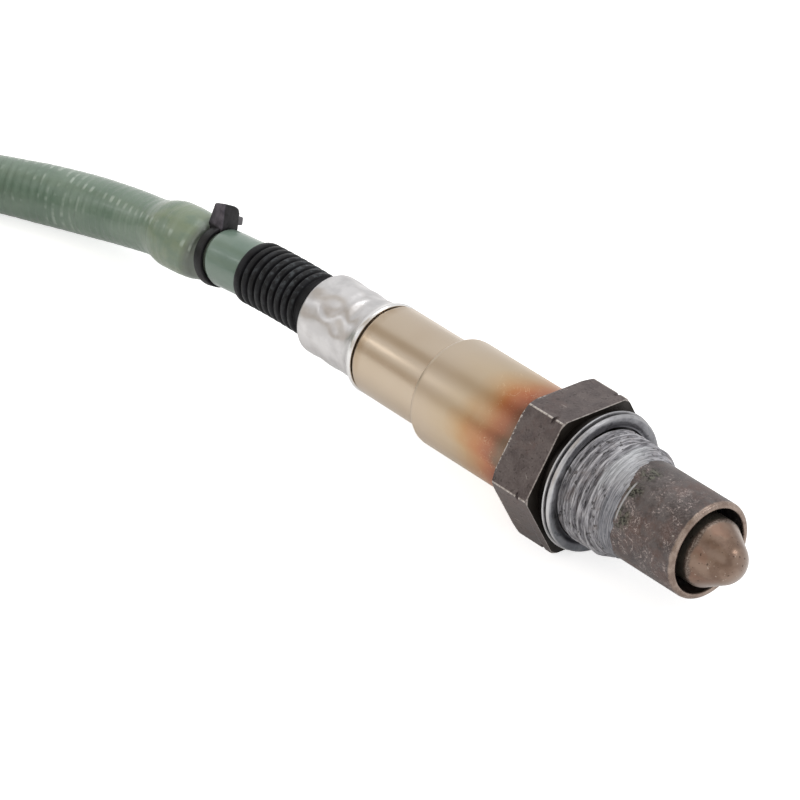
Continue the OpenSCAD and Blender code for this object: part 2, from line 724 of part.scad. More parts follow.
module cable_tie() {
    r_in = pinched_r + fit_gap;
    r_out = r_in + tie_t;
    head_z = r_in + tie_t / 5;
    yaw = atan2(tie_dir.y, tie_dir.x);
    pitch = -asin(unit(tie_dir).z);
    color([0.08, 0.08, 0.09]) translate(tie_place) rotate([0, pitch, yaw])
        rotate([tie_angle, 0, 0]) difference() {
            union() {
                rod(r_out, -tie_w / 2, tie_w / 2, 0, 0);
                translate([-tie_head_w / 2, -tie_head_l / 2, head_z])
                    cube([tie_head_w, tie_head_l, tie_head_h]);
                translate([-tie_w / 2, tie_head_l / 2 - cut, r_out])
                    cube([tie_w, tie_tail_l + cut, tie_t]);
            }
            rod(r_in, -tie_head_w, tie_head_w, 0, 0);
            for (s = [-1, 1]) translate([s * tie_head_w / 2, 0, head_z + tie_head_h])
                rotate([0, 45, 0])
                    cube([1, 0, 1] * tie_chamfer * sqrt(2) + [0, 2 * tie_head_l, 0], center = true);
        }
}

module harness_sleeve() {
    radii = [for (i = [0 : len(ROUTE) - 1])
        i < 2 ? pinched_r : cable_d / 2 + OPENED[i] * (opened_d - cable_d) / 2];
    color([0.56, 0.62, 0.47]) swept(ROUTE, radii, 12);
}

// Outline with round ends that the hank's cable follows, at a distance from its folds' centres
module hank_outline(r) {
    translate(hank_near) circle(r = r, $fn = round_fn);
    translate(hank_far) circle(r = r, $fn = round_fn);
    translate([hank_far.x, hank_far.y - r]) square([hank_run, 2 * r]);
}

module hank_band() {
    difference() {
        hank_outline(hank_r + cable_d / 2);
        hank_outline(hank_r - cable_d / 2);
    }
}

module harness_hank() {
    wide = hank_r + cable_d;
    color([0.56, 0.62, 0.47]) difference() {
        translate([0, 0, floor_z]) union() {
            linear_extrude(height = level_h) difference() {
                hank_band();
                translate([hank_join.x, hank_near.y + hank_r - cable_d])
                    square([2 * hank_r, 2 * cable_d]);
            }
            linear_extrude(height = 2 * level_h) intersection() {
                hank_band();
                translate([run_end, hank_near.y]) square([hank_near.x - run_end, wide]);
            }
            translate([0, 0, level_h]) linear_extrude(height = level_h) intersection() {
                hank_band();
                translate([hank_near.x - cut, hank_near.y - wide]) square([2 * wide, 2 * wide]);
            }
        }
        hank_strap(hank_tie_w + 2 * fit_gap, fit_gap);
        rod(shrink_d / 2 + fit_gap, run_end - shrink_len - cut, run_end,
            hank_near.y + hank_r, upper_z);
    }
}

// Strap round the two runs of cable, grown by a clearance
module hank_strap(w, grow) {
    y = hank_near.y + hank_r;
    z = floor_z + level_h;
    bite = 2 * (hank_tie_bite + grow);
    difference() {
        bar(cable_d + 2 * hank_tie_t, 2 * level_h + 2 * grow, hank_tie_x - w / 2,
            hank_tie_x + w / 2, y, z);
        bar(cable_d - bite, 2 * (level_h - hank_tie_t - grow), hank_tie_x - w, hank_tie_x + w,
            y, z);
    }
}

module hank_tie() {
    head_t = 4.4;
    y = hank_near.y + hank_r + cable_d / 2 + head_t / 2;
    color([0.08, 0.08, 0.09]) {
        hank_strap(hank_tie_w, 0);
        bar(head_t, hank_head_h, hank_tie_x - hank_head_l / 2, hank_tie_x + hank_head_l / 2, y,
            floor_z + level_h);
    }
}

module sleeve_end_shrink() {
    y = hank_near.y + hank_r;
    mouth_r = wire_pitch + wire_d;
    color([0.09, 0.09, 0.10]) difference() {
        translate([0, y, upper_z]) turned() polygon([[0, wires_x], [mouth_r, wires_x],
            [mouth_r + fit_gap, wires_x + shrink_len / 3],
            [shrink_d / 2, wires_x + shrink_len / 2], [shrink_d / 2, run_end], [0, run_end]]);
        for (w = WIRES)
            rod(wire_d / 2 + fit_gap, wires_x - cut, wires_x + shrink_len / 2, start_y(w),
                start_z(w));
    }
}

module plug_wires() {
    color([0.85, 0.85, 0.83]) for (w = WIRES)
        swept(wire_route(w), [for (p = wire_route(w)) wire_d / 2], 8);
}

// The trim resistor, grown by a clearance
module resistor_block(grow) {
    bar(resistor_w + 2 * grow, resistor_t + 2 * grow, resistor_x - resistor_l / 2 - grow,
        resistor_x + resistor_l / 2 + grow, plug_y, resistor_z);
}

module plug_housing() {
    color([0.12, 0.12, 0.13]) difference() {
        union() {
            bar(plug_w, plug_h, seal_rear, body_front, plug_y, plug_z);
            bar(nose_w, nose_h, body_front - cut, plug_front, plug_y, plug_z);
            bar(latch_w, latch_h, seal_rear + latch_x, body_front + latch_over, plug_y,
                plug_z + (plug_h + latch_h) / 2);
        }
        bar(nose_w, nose_h, seal_rear - cut, seal_front, plug_y, plug_z);
        for (w = WIRES) bar(terminal_w + 2 * fit_gap, terminal_w + 2 * fit_gap, seal_front - cut,
            plug_front + cut, plug_y + w.x, plug_z + w.y);
        bar(plug_w - lock_wall + fit_gap + cut, nose_h, lock_x - lock_t / 2 - fit_gap,
            lock_x + lock_t / 2 + fit_gap, plug_y + (lock_wall - fit_gap + cut) / 2, plug_z);
        resistor_block(2 * fit_gap);
    }
}

module plug_wire_seal() {
    color([0.75, 0.36, 0.16]) difference() {
        bar(nose_w - 2 * fit_gap, nose_h - 2 * fit_gap, seal_rear, seal_front - fit_gap,
            plug_y, plug_z);
        for (w = WIRES) rod(wire_d / 2 + fit_gap / 2, seal_rear - cut, seal_front + cut,
            plug_y + w.x, plug_z + w.y);
    }
}

module plug_rear_cover() {
    color([0.12, 0.12, 0.13]) difference() {
        bar(plug_w, plug_h, plug_rear, seal_rear, plug_y, plug_z);
        for (w = WIRES) rod(wire_d / 2 + 2 * fit_gap, plug_rear - cut, seal_rear + cut,
            plug_y + w.x, plug_z + w.y);
    }
}

module plug_terminals() {
    color([0.80, 0.74, 0.55]) for (w = WIRES) difference() {
        bar(terminal_w, terminal_w, seal_front + fit_gap, plug_front - terminal_inset,
            plug_y + w.x, plug_z + w.y);
        rod(wire_d / 2 + fit_gap / 2, seal_front - cut, seal_front + wire_grip + fit_gap,
            plug_y + w.x, plug_z + w.y);
        bar(terminal_w - 2 * socket_wall, terminal_w - 3 * socket_wall,
            plug_front - terminal_inset - socket_l, plug_front, plug_y + w.x, plug_z + w.y);
        bar(terminal_w + cut, terminal_w / 2 + cut, lock_x - lock_t / 2 - fit_gap,
            lock_x + lock_t / 2 + fit_gap, plug_y + w.x, plug_z + w.y + terminal_w / 2);
    }
}

module terminal_lock() {
    color([0.45, 0.30, 0.55]) difference() {
        bar(plug_w - lock_wall, nose_h - 2 * fit_gap, lock_x - lock_t / 2,
            lock_x + lock_t / 2, plug_y + lock_wall / 2, plug_z);
        for (w = WIRES) bar(terminal_w + 2 * fit_gap, terminal_w + 2 * fit_gap, lock_x - lock_t,
            lock_x + lock_t, plug_y + w.x, plug_z + w.y - terminal_w / 4 - cut / 2);
    }
}

module plug_face_seal() {
    color([0.75, 0.36, 0.16]) difference() {
        bar(nose_w + 2 * face_seal_t, nose_h + 2 * face_seal_t, body_front,
            body_front + face_seal_l, plug_y, plug_z);
        bar(nose_w + fit_gap, nose_h + fit_gap, body_front - cut, body_front + face_seal_l + cut,
            plug_y, plug_z);
    }
}

module trim_resistor() {
    color([0.30, 0.42, 0.34]) resistor_block(0);
}

hex_shell();
sealing_gasket();
outer_protection_tube();
inner_protection_tube();
sensing_element();
lower_ceramic_bush();
talc_seal();
upper_ceramic_bush();
press_ring();
protective_sleeve();
contact_carrier();
contact_springs();
carrier_clamp_ring();
cable_grommet();
crimp_collar();
ribbed_boot();
lead_wires();
inner_sleeve();
cable_tie();
harness_sleeve();
harness_hank();
hank_tie();
sleeve_end_shrink();
plug_wires();
plug_housing();
plug_wire_seal();
plug_rear_cover();
plug_terminals();
terminal_lock();
plug_face_seal();
trim_resistor();
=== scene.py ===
# A five-wire oxygen sensor for an exhaust boss, lying on one flat of its hex, with its lead put
# away in a hank behind it. Lengths are in metres in the frame of the solids: the sensor's axis is
# +X, towards the gas, the origin is on it in the sealing plane, and Z is up.
import math

import bmesh
import bpy
from mathutils import Matrix, Vector, noise


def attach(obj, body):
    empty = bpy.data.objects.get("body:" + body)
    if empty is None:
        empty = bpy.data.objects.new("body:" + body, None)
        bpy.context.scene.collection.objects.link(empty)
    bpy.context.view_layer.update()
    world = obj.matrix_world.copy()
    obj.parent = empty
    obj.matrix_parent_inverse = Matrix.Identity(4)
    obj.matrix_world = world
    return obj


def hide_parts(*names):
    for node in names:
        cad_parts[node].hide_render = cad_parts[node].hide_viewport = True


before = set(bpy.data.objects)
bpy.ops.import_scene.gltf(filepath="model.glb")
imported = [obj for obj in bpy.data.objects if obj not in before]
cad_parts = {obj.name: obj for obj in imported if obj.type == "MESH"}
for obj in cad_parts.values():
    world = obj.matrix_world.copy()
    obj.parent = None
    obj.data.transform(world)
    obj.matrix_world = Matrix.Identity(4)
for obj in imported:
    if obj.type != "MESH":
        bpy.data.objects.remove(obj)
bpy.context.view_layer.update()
MM = 0.001

# Camera: a long lens that looks down along the sensor from ahead of its tip, and to one side.
# The lead runs out of the picture at the left, and the hank lies beyond that edge.
camera = bpy.data.objects.new("camera", bpy.data.cameras.new("camera"))
camera.data.sensor_width = 36
camera.data.lens = 214
camera.data.clip_end = 10
to_right = Vector((0.64915, 0.75863, 0.05543))
to_top = Vector((-0.41132, 0.28879, 0.86453))
camera.matrix_world = Matrix.Translation(Vector((417.6, -422.4, 354.2)) * MM) @ Matrix(
    (to_right, to_top, to_right.cross(to_top))).transposed().to_4x4()
bpy.context.scene.collection.objects.link(camera)
bpy.context.scene.camera = camera

# Harness sleeve: ribbed glass-fibre tube with an olive-green coating, drawn over the five wires.
# Its end is opened over the inner sleeve and pinched by the tie. Behind the picture it is folded
# into a flat hank, two runs below and one on top, and the shrink tube ends it.
HANK_R = 28
HANK_X = (-152, -210)
HANK_Y = -42
LOW_Z = -6.4
HIGH_Z = 2.8
SLEEVE_END = -197
RIB_STEP = 1.7 * MM
FINE_POINTS = 130


def srgb(red, green, blue):
    """A colour as it looks on a screen, from 0 to 255, as the shader's own colour."""
    straight = [(c / 255 / 12.92) if c < 10 else ((c / 255 + 0.055) / 1.055) ** 2.4
                for c in (red, green, blue)]
    return (*straight, 1)


class Value:
    """What a node puts out. Arithmetic on it adds more nodes to the same tree."""

    def __init__(self, tree, socket):
        self.tree, self.socket = tree, socket

    def __add__(self, other):
        return calc("ADD", self, other)

    def __sub__(self, other):
        return calc("SUBTRACT", self, other)

    def __rsub__(self, other):
        return calc("SUBTRACT", other, self)

    def __mul__(self, other):
        return calc("MULTIPLY", self, other)

    def __rtruediv__(self, other):
        return calc("DIVIDE", other, self)


def fill(node, values):
    """Sets a node's settings, whose names are in small letters, and links or sets its sockets,
    which are named with a capital or numbered as in _0."""
    for key, value in values.items():
        if key[0].islower():
            setattr(node, key, value)
            continue
        socket = node.inputs[int(key[1:]) if key[0] == "_" else key.replace("_", " ")]
        if isinstance(value, Value):
            value.tree.links.new(value.socket, socket)
        elif value is not None:
            socket.default_value = value


def put(tree, kind, output=0, **values):
    """Adds a node to a material or group, and gives one of its outputs."""
    node = tree.nodes.new("ShaderNode" + kind)
    fill(node, values)
    return Value(tree, node.outputs[output]) if len(node.outputs) else node


def calc(operation, *values):
    """One step of arithmetic."""
    tree = next(v.tree for v in values if isinstance(v, Value))
    return put(tree, "Math", operation=operation, **{f"_{i}": v for i, v in enumerate(values)})


def fade(value, start, end, low=0.0, high=1.0):
    """Smooth change from low to high while a value goes from start to end."""
    return put(value.tree, "MapRange", _0=value, _1=start, _2=end, _3=low, _4=high,
               interpolation_type="SMOOTHSTEP")


def part(where, letter):
    """One of the three coordinates."""
    return put(where.tree, "SeparateXYZ", letter, Vector=where)


def stretch(where, x=1.0, y=1.0, z=1.0):
    """Coordinates scaled along each axis, so that a pattern gets a direction."""
    return put(where.tree, "Mapping", Vector=where, Scale=(x, y, z))


def cloud(where, size, detail=3.0, rough=0.55, swirl=0.0):
    """Soft noise whose blotches are about size across, in metres."""
    return put(where.tree, "TexNoise", "Fac", Vector=where, Scale=1 / size, Detail=detail,
               Roughness=rough, Distortion=swirl)


def tint(share, under, over):
    """Lays one colour over another by a share. Each is a node's output or an srgb triple."""
    under, over = (c if isinstance(c, Value) else srgb(*c) for c in (under, over))
    return put(share.tree, "Mix", 2, data_type="RGBA", _0=share, _6=under, _7=over)


def relief(height, depth, under=None):
    """Turns heights from 0 to 1 into a bump of some depth, in metres."""
    return put(height.tree, "Bump", Strength=1.0, Distance=depth, Height=height, Normal=under)


class Finish:
    """A material: its tree, the piece's own coordinates and the colour laid on so far."""

    def __init__(self, name, **shader):
        self.material = bpy.data.materials.new(name)
        self.material.use_nodes = True
        self.tree = self.material.node_tree
        self.where = put(self.tree, "TexCoord", "Object")
        fill(self.tree.nodes["Principled BSDF"], shader)

    def lay(self, share, colour):
        """Lays one more colour over the others by a share."""
        self.colour = tint(share, self.colour, colour)

    def feed(self, **values):
        """Gives the shader the colour, and other values that change over the surface."""
        fill(self.tree.nodes["Principled BSDF"], {"Base_Color": self.colour, **values})


def curve_through(points, step):
    """Points at equal steps along a smooth line through the given ones."""
    points = [Vector(p) for p in points]
    ends = [points[0] * 2 - points[1]] + points + [points[-1] * 2 - points[-2]]
    dense = []
    for before, a, b, after in zip(ends, ends[1:], ends[2:], ends[3:]):
        for k in range(24):
            t = k / 24
            dense.append(0.5 * (2 * a + (b - before) * t + (2 * before - 5 * a + 4 * b - after)
                                * t * t + (3 * a - before - 3 * b + after) * t ** 3))
    dense.append(points[-1])
    lengths = [0.0]
    for a, b in zip(dense, dense[1:]):
        lengths.append(lengths[-1] + (b - a).length)
    count = max(2, round(lengths[-1] / step))
    even, k = [], 0
    for i in range(count + 1):
        target = lengths[-1] * i / count
        while k < len(dense) - 2 and lengths[k + 1] < target:
            k += 1
        even.append(dense[k].lerp(dense[k + 1],
                                  (target - lengths[k]) / max(1e-9, lengths[k + 1] - lengths[k])))
    return even


def tube_along(mesh, line, radius_at, sides):
    """Sweeps a ring along a line. Each point keeps its place on the unrolled skin."""
    skin = mesh.verts.layers.float_vector.get("skin") or mesh.verts.layers.float_vector.new("skin")
    standing = set(mesh.verts)
    ring = bmesh.ops.create_circle(mesh, segments=sides, radius=1)["verts"]
    bmesh.ops.spin(mesh, geom=ring + list({e for v in ring for e in v.link_edges}),
                   cent=(0, 0, 0), axis=(0, 0, 1), dvec=(0, 0, 1), angle=0, steps=len(line) - 1)
    places, run = [], 0.0
    ahead = (line[1] - line[0]).normalized()
    side = ahead.cross(Vector((0, 0, 1))).normalized()
    for i, point in enumerate(line):
        turn_to = (line[min(i + 1, len(line) - 1)] - line[max(i - 1, 0)]).normalized()
        side = ahead.rotation_difference(turn_to) @ side
        ahead = turn_to
        if i:
            run += (point - line[i - 1]).length
        places.append((Matrix.Translation(point) @ Matrix(
            (side, ahead.cross(side), ahead)).transposed().to_4x4(), radius_at(run), run))
    first, last = [], []
    for e in mesh.edges:
        if e.verts[0] not in standing and abs(e.verts[0].co.z - e.verts[1].co.z) < 0.5:
            if e.verts[0].co.z < 0.5:
                first.append(e)
            elif e.verts[0].co.z > len(line) - 1.5:
                last.append(e)
    for v in mesh.verts:
        if v not in standing:
            place, radius, run = places[round(v.co.z)]
            v[skin] = (v.co.x * radius, v.co.y * radius, run)
            v.co = place @ Vector((v.co.x * radius, v.co.y * radius, 0))
    return first, last


def saved(mesh, name):
    """Turns a mesh in the making into mesh data."""
    data = bpy.data.meshes.new(name)
    mesh.to_mesh(data)
    mesh.free()
    return data


def piece_of(mesh, name, finish, slot, *solids, crease=38):
    """Makes a finished mesh a piece that rides on the sensor and stands for its solids."""
    bmesh.ops.remove_doubles(mesh, verts=mesh.verts, dist=1e-7)
    bmesh.ops.recalc_face_normals(mesh, faces=mesh.faces)
    data = saved(mesh, name)
    data.shade_smooth()
    data.set_sharp_from_angle(angle=math.radians(crease))
    data.materials.append(finish.material)
    piece = bpy.data.objects.new(name, data)
    bpy.context.scene.collection.objects.link(piece)
    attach(piece, "root")
    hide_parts(*solids)
    return piece


laid = [(-87.4, -0.4, -1.2), (-90.3, -0.46, -1.9), (-92, -0.6, -1.9), (-94.5, -0.9, -1.6),
        (-97.5, -1.0, -1.75), (-101, -0.9, -2.25), (-104.5, -0.8, -3), (-109.5, -1.05, -3.8),
        (-114, -1.5, -4.5), (-120, -2.6, -5.3), (-127, -4.9, -5.9), (-134, -8.2, -6.2),
        (-140, -11.4, -6.4), (-145, -13.3, -6.4), (-148, -14, -6.4), (-152, -14, -6.4)]
for run_x in range(-160, -210, -10):
    laid.append((run_x, HANK_Y + HANK_R, LOW_Z))
for degrees in range(90, 271, 15):
    fold = math.radians(degrees)
    laid.append((HANK_X[1] + HANK_R * math.cos(fold), HANK_Y + HANK_R * math.sin(fold), LOW_Z))
for run_x in range(-200, -152, 10):
    laid.append((run_x, HANK_Y - HANK_R, LOW_Z))
for degrees in range(-90, 91, 12):
    fold = math.radians(degrees)
    climb = min(1, max(0, (degrees + 60) / 132))
    laid.append((HANK_X[0] + HANK_R * math.cos(fold), HANK_Y + HANK_R * math.sin(fold),
                 LOW_Z + (HIGH_Z - LOW_Z) * climb * climb * (3 - 2 * climb)))
for run_x in (-160, -170, -180, -190, SLEEVE_END):
    laid.append((run_x, HANK_Y + HANK_R, HIGH_Z))
fine_line = [p * MM for p in curve_through(laid, 0.55)]
route = fine_line[:FINE_POINTS] + fine_line[FINE_POINTS:-1:4] + [fine_line[-1]]

# Its radius at distances from its end, in millimetres: pinched by the tie, open behind it.
WIDTHS = [(0, 4.08), (2.7, 4.08), (3.5, 4.4), (4.3, 4.85), (5.4, 5.25), (6.8, 5.46), (8.4, 5.54),
          (11.4, 5.52), (12.4, 5.42), (13.2, 5.2), (14.2, 4.88), (15.2, 4.66), (17.5, 4.58),
          (22.4, 4.76), (27, 4.87), (30, 4.96), (34, 5.0), (42, 4.96), (46, 4.8), (55, 4.6),
          (60, 4.55), (999, 4.55)]


def harness_radius(run):
    """Radius of the sleeve, with a faint ripple, at a distance from its open end."""
    mm = run / MM
    total = 0.0
    for near in (-0.5, -0.25, 0, 0.25, 0.5):
        at = max(0, mm + near)
        for (a, low), (b, high) in zip(WIDTHS, WIDTHS[1:]):
            if a <= at <= b:
                total += (low + (high - low) * (at - a) / (b - a)) / 5
                break
    seen = min(1, max(0, (mm - 4) / 3), max(0, (68 - mm) / 6))
    return (total + 0.015 * math.sin(math.tau * mm / 2.2) * seen) * MM


sleeve_mesh = bmesh.new()
opened_rim, far_rim = tube_along(sleeve_mesh, route, harness_radius, 40)
inner_rim = bmesh.ops.extrude_edge_only(sleeve_mesh, edges=opened_rim)["geom"]
for v in (g for g in inner_rim if isinstance(g, bmesh.types.BMVert)):
    v.co = route[0] + (v.co - route[0]) * 0.9
bmesh.ops.contextual_create(sleeve_mesh, geom=far_rim)

olive = Finish("harness_sleeve_olive", Coat_Weight=0.7, Coat_Roughness=0.18)
skin = put(olive.tree, "Attribute", "Vector", attribute_name="skin")
along = part(skin, "Z")
patches = cloud(stretch(skin, z=0.6), 0.006)
olive.colour = tint(fade(patches, 0.36, 0.64), (98, 121, 103), (116, 136, 119))
# The coating is a little more olive and blotchy where the sleeve is opened out.
blotchy = fade(along, 0.017, 0.011) * fade(cloud(skin, 0.0022), 0.36, 0.6, 0.35)
olive.lay(blotchy * 0.75, (126, 140, 112))
# Next to the tie the sleeve is painted darker olive-grey, as painted shade beside the tie.
olive.lay(fade(along, 0.0062, 0.0042) * 0.8, (88, 94, 88))
# Its fine ribs catch the light in rows of points, and are rubbed pale here and there.
swing = cloud(stretch(skin, 0.3, 0.3), 0.006, 2.0) * 0.0024
bands = calc("SINE", (along + swing) * (math.tau / RIB_STEP))
spotty = fade(cloud(stretch(skin, z=0.5), 0.0028, 2.0), 0.5, 0.66)
pale = fade(bands, 0.1, 1.0) * (spotty * fade(along, 0.022, 0.036, 0.12, 0.75))
olive.lay(pale, (158, 174, 160))
# A row of painted highlight points winds slowly round the upper side, one on each rib.
turned_by = calc("ARCTAN2", part(skin, "Y") * -1.0, part(skin, "X")) * (180 / math.pi)
course = fade(along, 0.034, 0.038, 158.0, 138.0) - along * 1250.0
beside = calc("ABSOLUTE", turned_by - course)
painted_highlight_points = fade(bands, 0.1, 0.9) * (
    fade(beside, 10.0, 3.0) * fade(cloud(skin, 0.0045, 2.0), 0.42, 0.58, 0.05, 0.6))
olive.lay(painted_highlight_points, (176, 190, 178))
weave = put(olive.tree, "TexWave", "Fac", Vector=skin, Scale=1400.0, Distortion=1.5, Detail=1.0)
ribbed = relief(fade(bands, -1.0, 1.0), 0.00009, relief(weave, 0.000004))
olive.feed(Roughness=fade(patches, 0.3, 0.7, 0.4, 0.52),
           Normal=relief(cloud(stretch(skin, z=1.2), 0.0036, 2.0), 0.00012, ribbed))
harness = piece_of(sleeve_mesh, "harness_tube", olive, "harness_sleeve_glass",
                   "harness_sleeve", "harness_hank")
harness_length = sum((b - a).length for a, b in zip(route, route[1:]))

# Shell: turned from dark heat-browned steel, with six milled flats and a groove turned into their
# corners. The M18 thread is rolled on, and grey anti-seize paste fills it unevenly.
ACROSS_FLATS = 22
HEX_REAR = -10.9
HEX_FRONT = -3.0
CORNER_R = 12.702
THREAD_ROOT = 8.085
THREAD_R = 9.0
THREAD_INSIDE = 7.5
THREAD_REAR = -0.8
THREAD_FRONT = 6.75
PASTE_FRONT = 10.2
PITCH = 1.5
TURNS = 9
ROUND = 180


def soften(mesh, geom, size, segments=3, what="EDGES"):
    """Rounds edges or corners by a size in millimetres."""
    bmesh.ops.bevel(mesh, geom=geom, offset=size * MM, offset_type="OFFSET", segments=segments,
                    profile=0.5, affect=what, material=-1)


def turned(mesh, corners, steps=192, closed=True, cuts=None):
    """Turns an outline of (station, radius, rounding) corners round the sensor's axis."""
    points = [mesh.verts.new((x * MM, 0, r * MM)) for x, r, *_ in corners]
    for pair in list(zip(points, points[1:] + points[:1]))[:None if closed else -1]:
        mesh.edges.new(pair)
    for point, (_, _, *rounding) in zip(points, corners):
        if rounding and rounding[0]:
            soften(mesh, [point], rounding[0], 5, "VERTICES")
    outline = [e for e in mesh.edges if not e.link_faces]
    if cuts:
        step, above = cuts
        for edge in [e for e in outline if e.calc_length() > 3 * step * MM
                     and min(v.co.z for v in e.verts) > above * MM]:
            bmesh.ops.subdivide_edges(mesh, edges=[edge], cuts=int(edge.calc_length() / step / MM))
    outline = [e for e in mesh.edges if not e.link_faces]
    ends = {v for e in outline for v in e.verts}
    bmesh.ops.spin(mesh, geom=list(ends) + outline, axis=(1, 0, 0), cent=(0, 0, 0),
                   angle=math.tau, steps=steps, use_merge=True)


def every(mesh):
    """All that a mesh is made of so far."""
    return mesh.verts[:] + mesh.edges[:] + mesh.faces[:]


def trim(mesh, at, outward):
    """Cuts away what lies beyond a plane, and returns the edges of the cut."""
    cut = bmesh.ops.bisect_plane(mesh, geom=every(mesh), plane_co=at, plane_no=outward,
                                 clear_outer=True, dist=1e-7)["geom_cut"]
    return [g for g in cut if isinstance(g, bmesh.types.BMEdge)]


def widen(v, factor):
    """Moves a point straight out from the axis, or in."""
    v.co.y *= factor
    v.co.z *= factor


shell_mesh = bmesh.new()
turned(shell_mesh, [
    (-15.5, 5.0), (-15.5, 8.3, 0.3), (HEX_REAR, 8.3), (HEX_REAR, CORNER_R - 0.85, 0.1),
    (HEX_REAR + 0.45, CORNER_R, 0.15), (-5.42, CORNER_R, 0.06), (-5.3, 12.2, 0.04),
    (-4.8, 12.2, 0.04), (-4.68, CORNER_R, 0.06), (HEX_FRONT - 0.4, CORNER_R, 0.15),
    (HEX_FRONT, CORNER_R - 0.4, 0.1), (HEX_FRONT, 7.9), (-0.4, 7.9), (-0.4, 7.6), (7.0, 7.6),
    (7.0, 7.15), (11.25, 7.15), (11.25, 5.45), (4, 5.45), (4, 6.6), (-13.5, 6.6), (-13.5, 5.0)])
bmesh.ops.remove_doubles(shell_mesh, verts=shell_mesh.verts, dist=1e-7)
for flat in range(6):
    turn = math.radians(30 + 60 * flat)
    outward = Vector((0, math.cos(turn), math.sin(turn)))
    rim = trim(shell_mesh, outward * ACROSS_FLATS / 2 * MM, outward)
    bmesh.ops.holes_fill(shell_mesh, edges=rim, sides=0)

# The thread is one tooth carried round the axis as it moves ahead, copied for each turn and
# chamfered at both ends. Paste raises its grooves, and a thin skirt of it runs out over the tube.
thread_mesh = bmesh.new()
tooth = [(-2.6, THREAD_ROOT), (-2.24, THREAD_ROOT), (-1.84, THREAD_R - 0.04),
         (-1.78, THREAD_R), (-1.66, THREAD_R), (-1.60, THREAD_R - 0.04), (-1.2, THREAD_ROOT),
         (-1.1, THREAD_ROOT)]
tooth_points = [thread_mesh.verts.new((x * MM, 0, r * MM)) for x, r in tooth]
tooth_edges = [thread_mesh.edges.new(p) for p in zip(tooth_points, tooth_points[1:])]
bmesh.ops.subdivide_edges(thread_mesh, edges=[tooth_edges[1], tooth_edges[5]], cuts=2)
bmesh.ops.spin(thread_mesh, geom=every(thread_mesh), axis=(-1, 0, 0), cent=(0, 0, 0),
               dvec=(PITCH * MM / ROUND, 0, 0), angle=math.tau, steps=ROUND)
one_turn = every(thread_mesh)
for turn in range(1, TURNS):
    copied = bmesh.ops.duplicate(thread_mesh, geom=one_turn)["geom"]
    bmesh.ops.translate(thread_mesh, vec=(turn * PITCH * MM, 0, 0),
                        verts=[g for g in copied if isinstance(g, bmesh.types.BMVert)])
bmesh.ops.remove_doubles(thread_mesh, verts=thread_mesh.verts, dist=2e-6)
for end, way in ((THREAD_REAR, -1), (PASTE_FRONT, 1)):
    trim(thread_mesh, (end * MM, 0, 0), (way, 0, 0))
for v in thread_mesh.verts:
    x, radius = v.co.x / MM, math.hypot(v.co.y, v.co.z) / MM
    turn = math.atan2(v.co.z, v.co.y)
    upper = math.cos(turn - math.radians(108))
    place = Vector((x * 1.6, v.co.y / MM * 0.3, v.co.z / MM * 0.3))
    lumps = noise.noise(place) * 0.6 + noise.noise(place * 3.1) * 0.4
    packed = max(0, x - 4.6) * 0.6 * max(0, upper - 0.3)
    filled = min(1, max(0, 0.5 + 0.9 * lumps + packed))
    radius += (THREAD_R - 0.14 - radius) * filled * 0.8
    streaks = noise.noise(Vector((x * 4.5, v.co.y / MM * 0.4, v.co.z / MM * 0.4)))
    radius += 0.1 * streaks
    radius = min(radius, THREAD_R - 0.01, THREAD_ROOT + (THREAD_FRONT - x) * 0.9,
                 THREAD_ROOT + max(0.0, x - THREAD_REAR) * 2.4)
    edge = 8.0 + 1.75 * max(0, math.cos(turn - math.radians(175))) + 0.5 * lumps
    if x > 6:
        skirt = 7.7 + 0.2 * min(1, (edge - x) / 0.35) + 0.05 * streaks
        radius = max(radius, skirt if edge > x else 7.62)
    widen(v, radius * MM / math.hypot(v.co.y, v.co.z))
for end in (THREAD_REAR, PASTE_FRONT):
    rim = [e for e in thread_mesh.edges if e.is_boundary
           and all(abs(v.co.x - end * MM) < 2e-6 for v in e.verts)]
    grown = bmesh.ops.extrude_edge_only(thread_mesh, edges=rim)["geom"]
    for v in (g for g in grown if isinstance(g, bmesh.types.BMVert)):
        widen(v, THREAD_INSIDE * MM / math.hypot(v.co.y, v.co.z))
shell_mesh.from_mesh(saved(thread_mesh, "thread"))


def effect(name, mask_of, **numbers):
    """A node group with a coordinate and some numbers in, and the mask that is made of them out."""
    group = bpy.data.node_groups.new(name, "ShaderNodeTree")
    group.interface.new_socket("Where", in_out="INPUT", socket_type="NodeSocketVector")
    for key, value in numbers.items():
        socket = group.interface.new_socket(key, in_out="INPUT", socket_type="NodeSocketFloat")
        socket.default_value = value
    group.interface.new_socket("Mask", in_out="OUTPUT", socket_type="NodeSocketFloat")
    given = group.nodes.new("NodeGroupInput").outputs
    mask = mask_of(*(Value(group, given[i]) for i in range(1 + len(numbers))))
    fill(group.nodes.new("NodeGroupOutput"), {"Mask": mask})
    return group


def apply(group, where, **numbers):
    """Places a shared effect in a material, with that material's own values."""
    return put(where.tree, "Group", node_tree=group, Where=where, **numbers)


def grime_mask(where, size, amount):
    """The uneven film that handling and heat leave: broad clouds broken by small ones."""
    small = put(where.tree, "TexNoise", "Fac", Vector=where, Detail=3.0, Roughness=0.7,
                Scale=6.0 / size)
    film = cloud(where, size, 4.0, 0.6) * 0.7 + small * 0.3
    level = 0.9 - amount * 0.8
    return fade(film, level - 0.09, level + 0.09)


def flecks_mask(where, size, share):
    """The small bright or dark points on handled metal."""
    level = 0.78 - share * 0.7
    return fade(cloud(where, size, 1.0, 0.5), level, level + 0.06)


def scratches_mask(where, spacing, share):
    """Thin lines along one axis of the coordinates they are given."""
    lines = cloud(stretch(where, 0.06), spacing, 2.0, 0.6, 0.6)
    return 1.0 - fade(calc("ABSOLUTE", lines - 0.5), 0.0, share * 0.06)


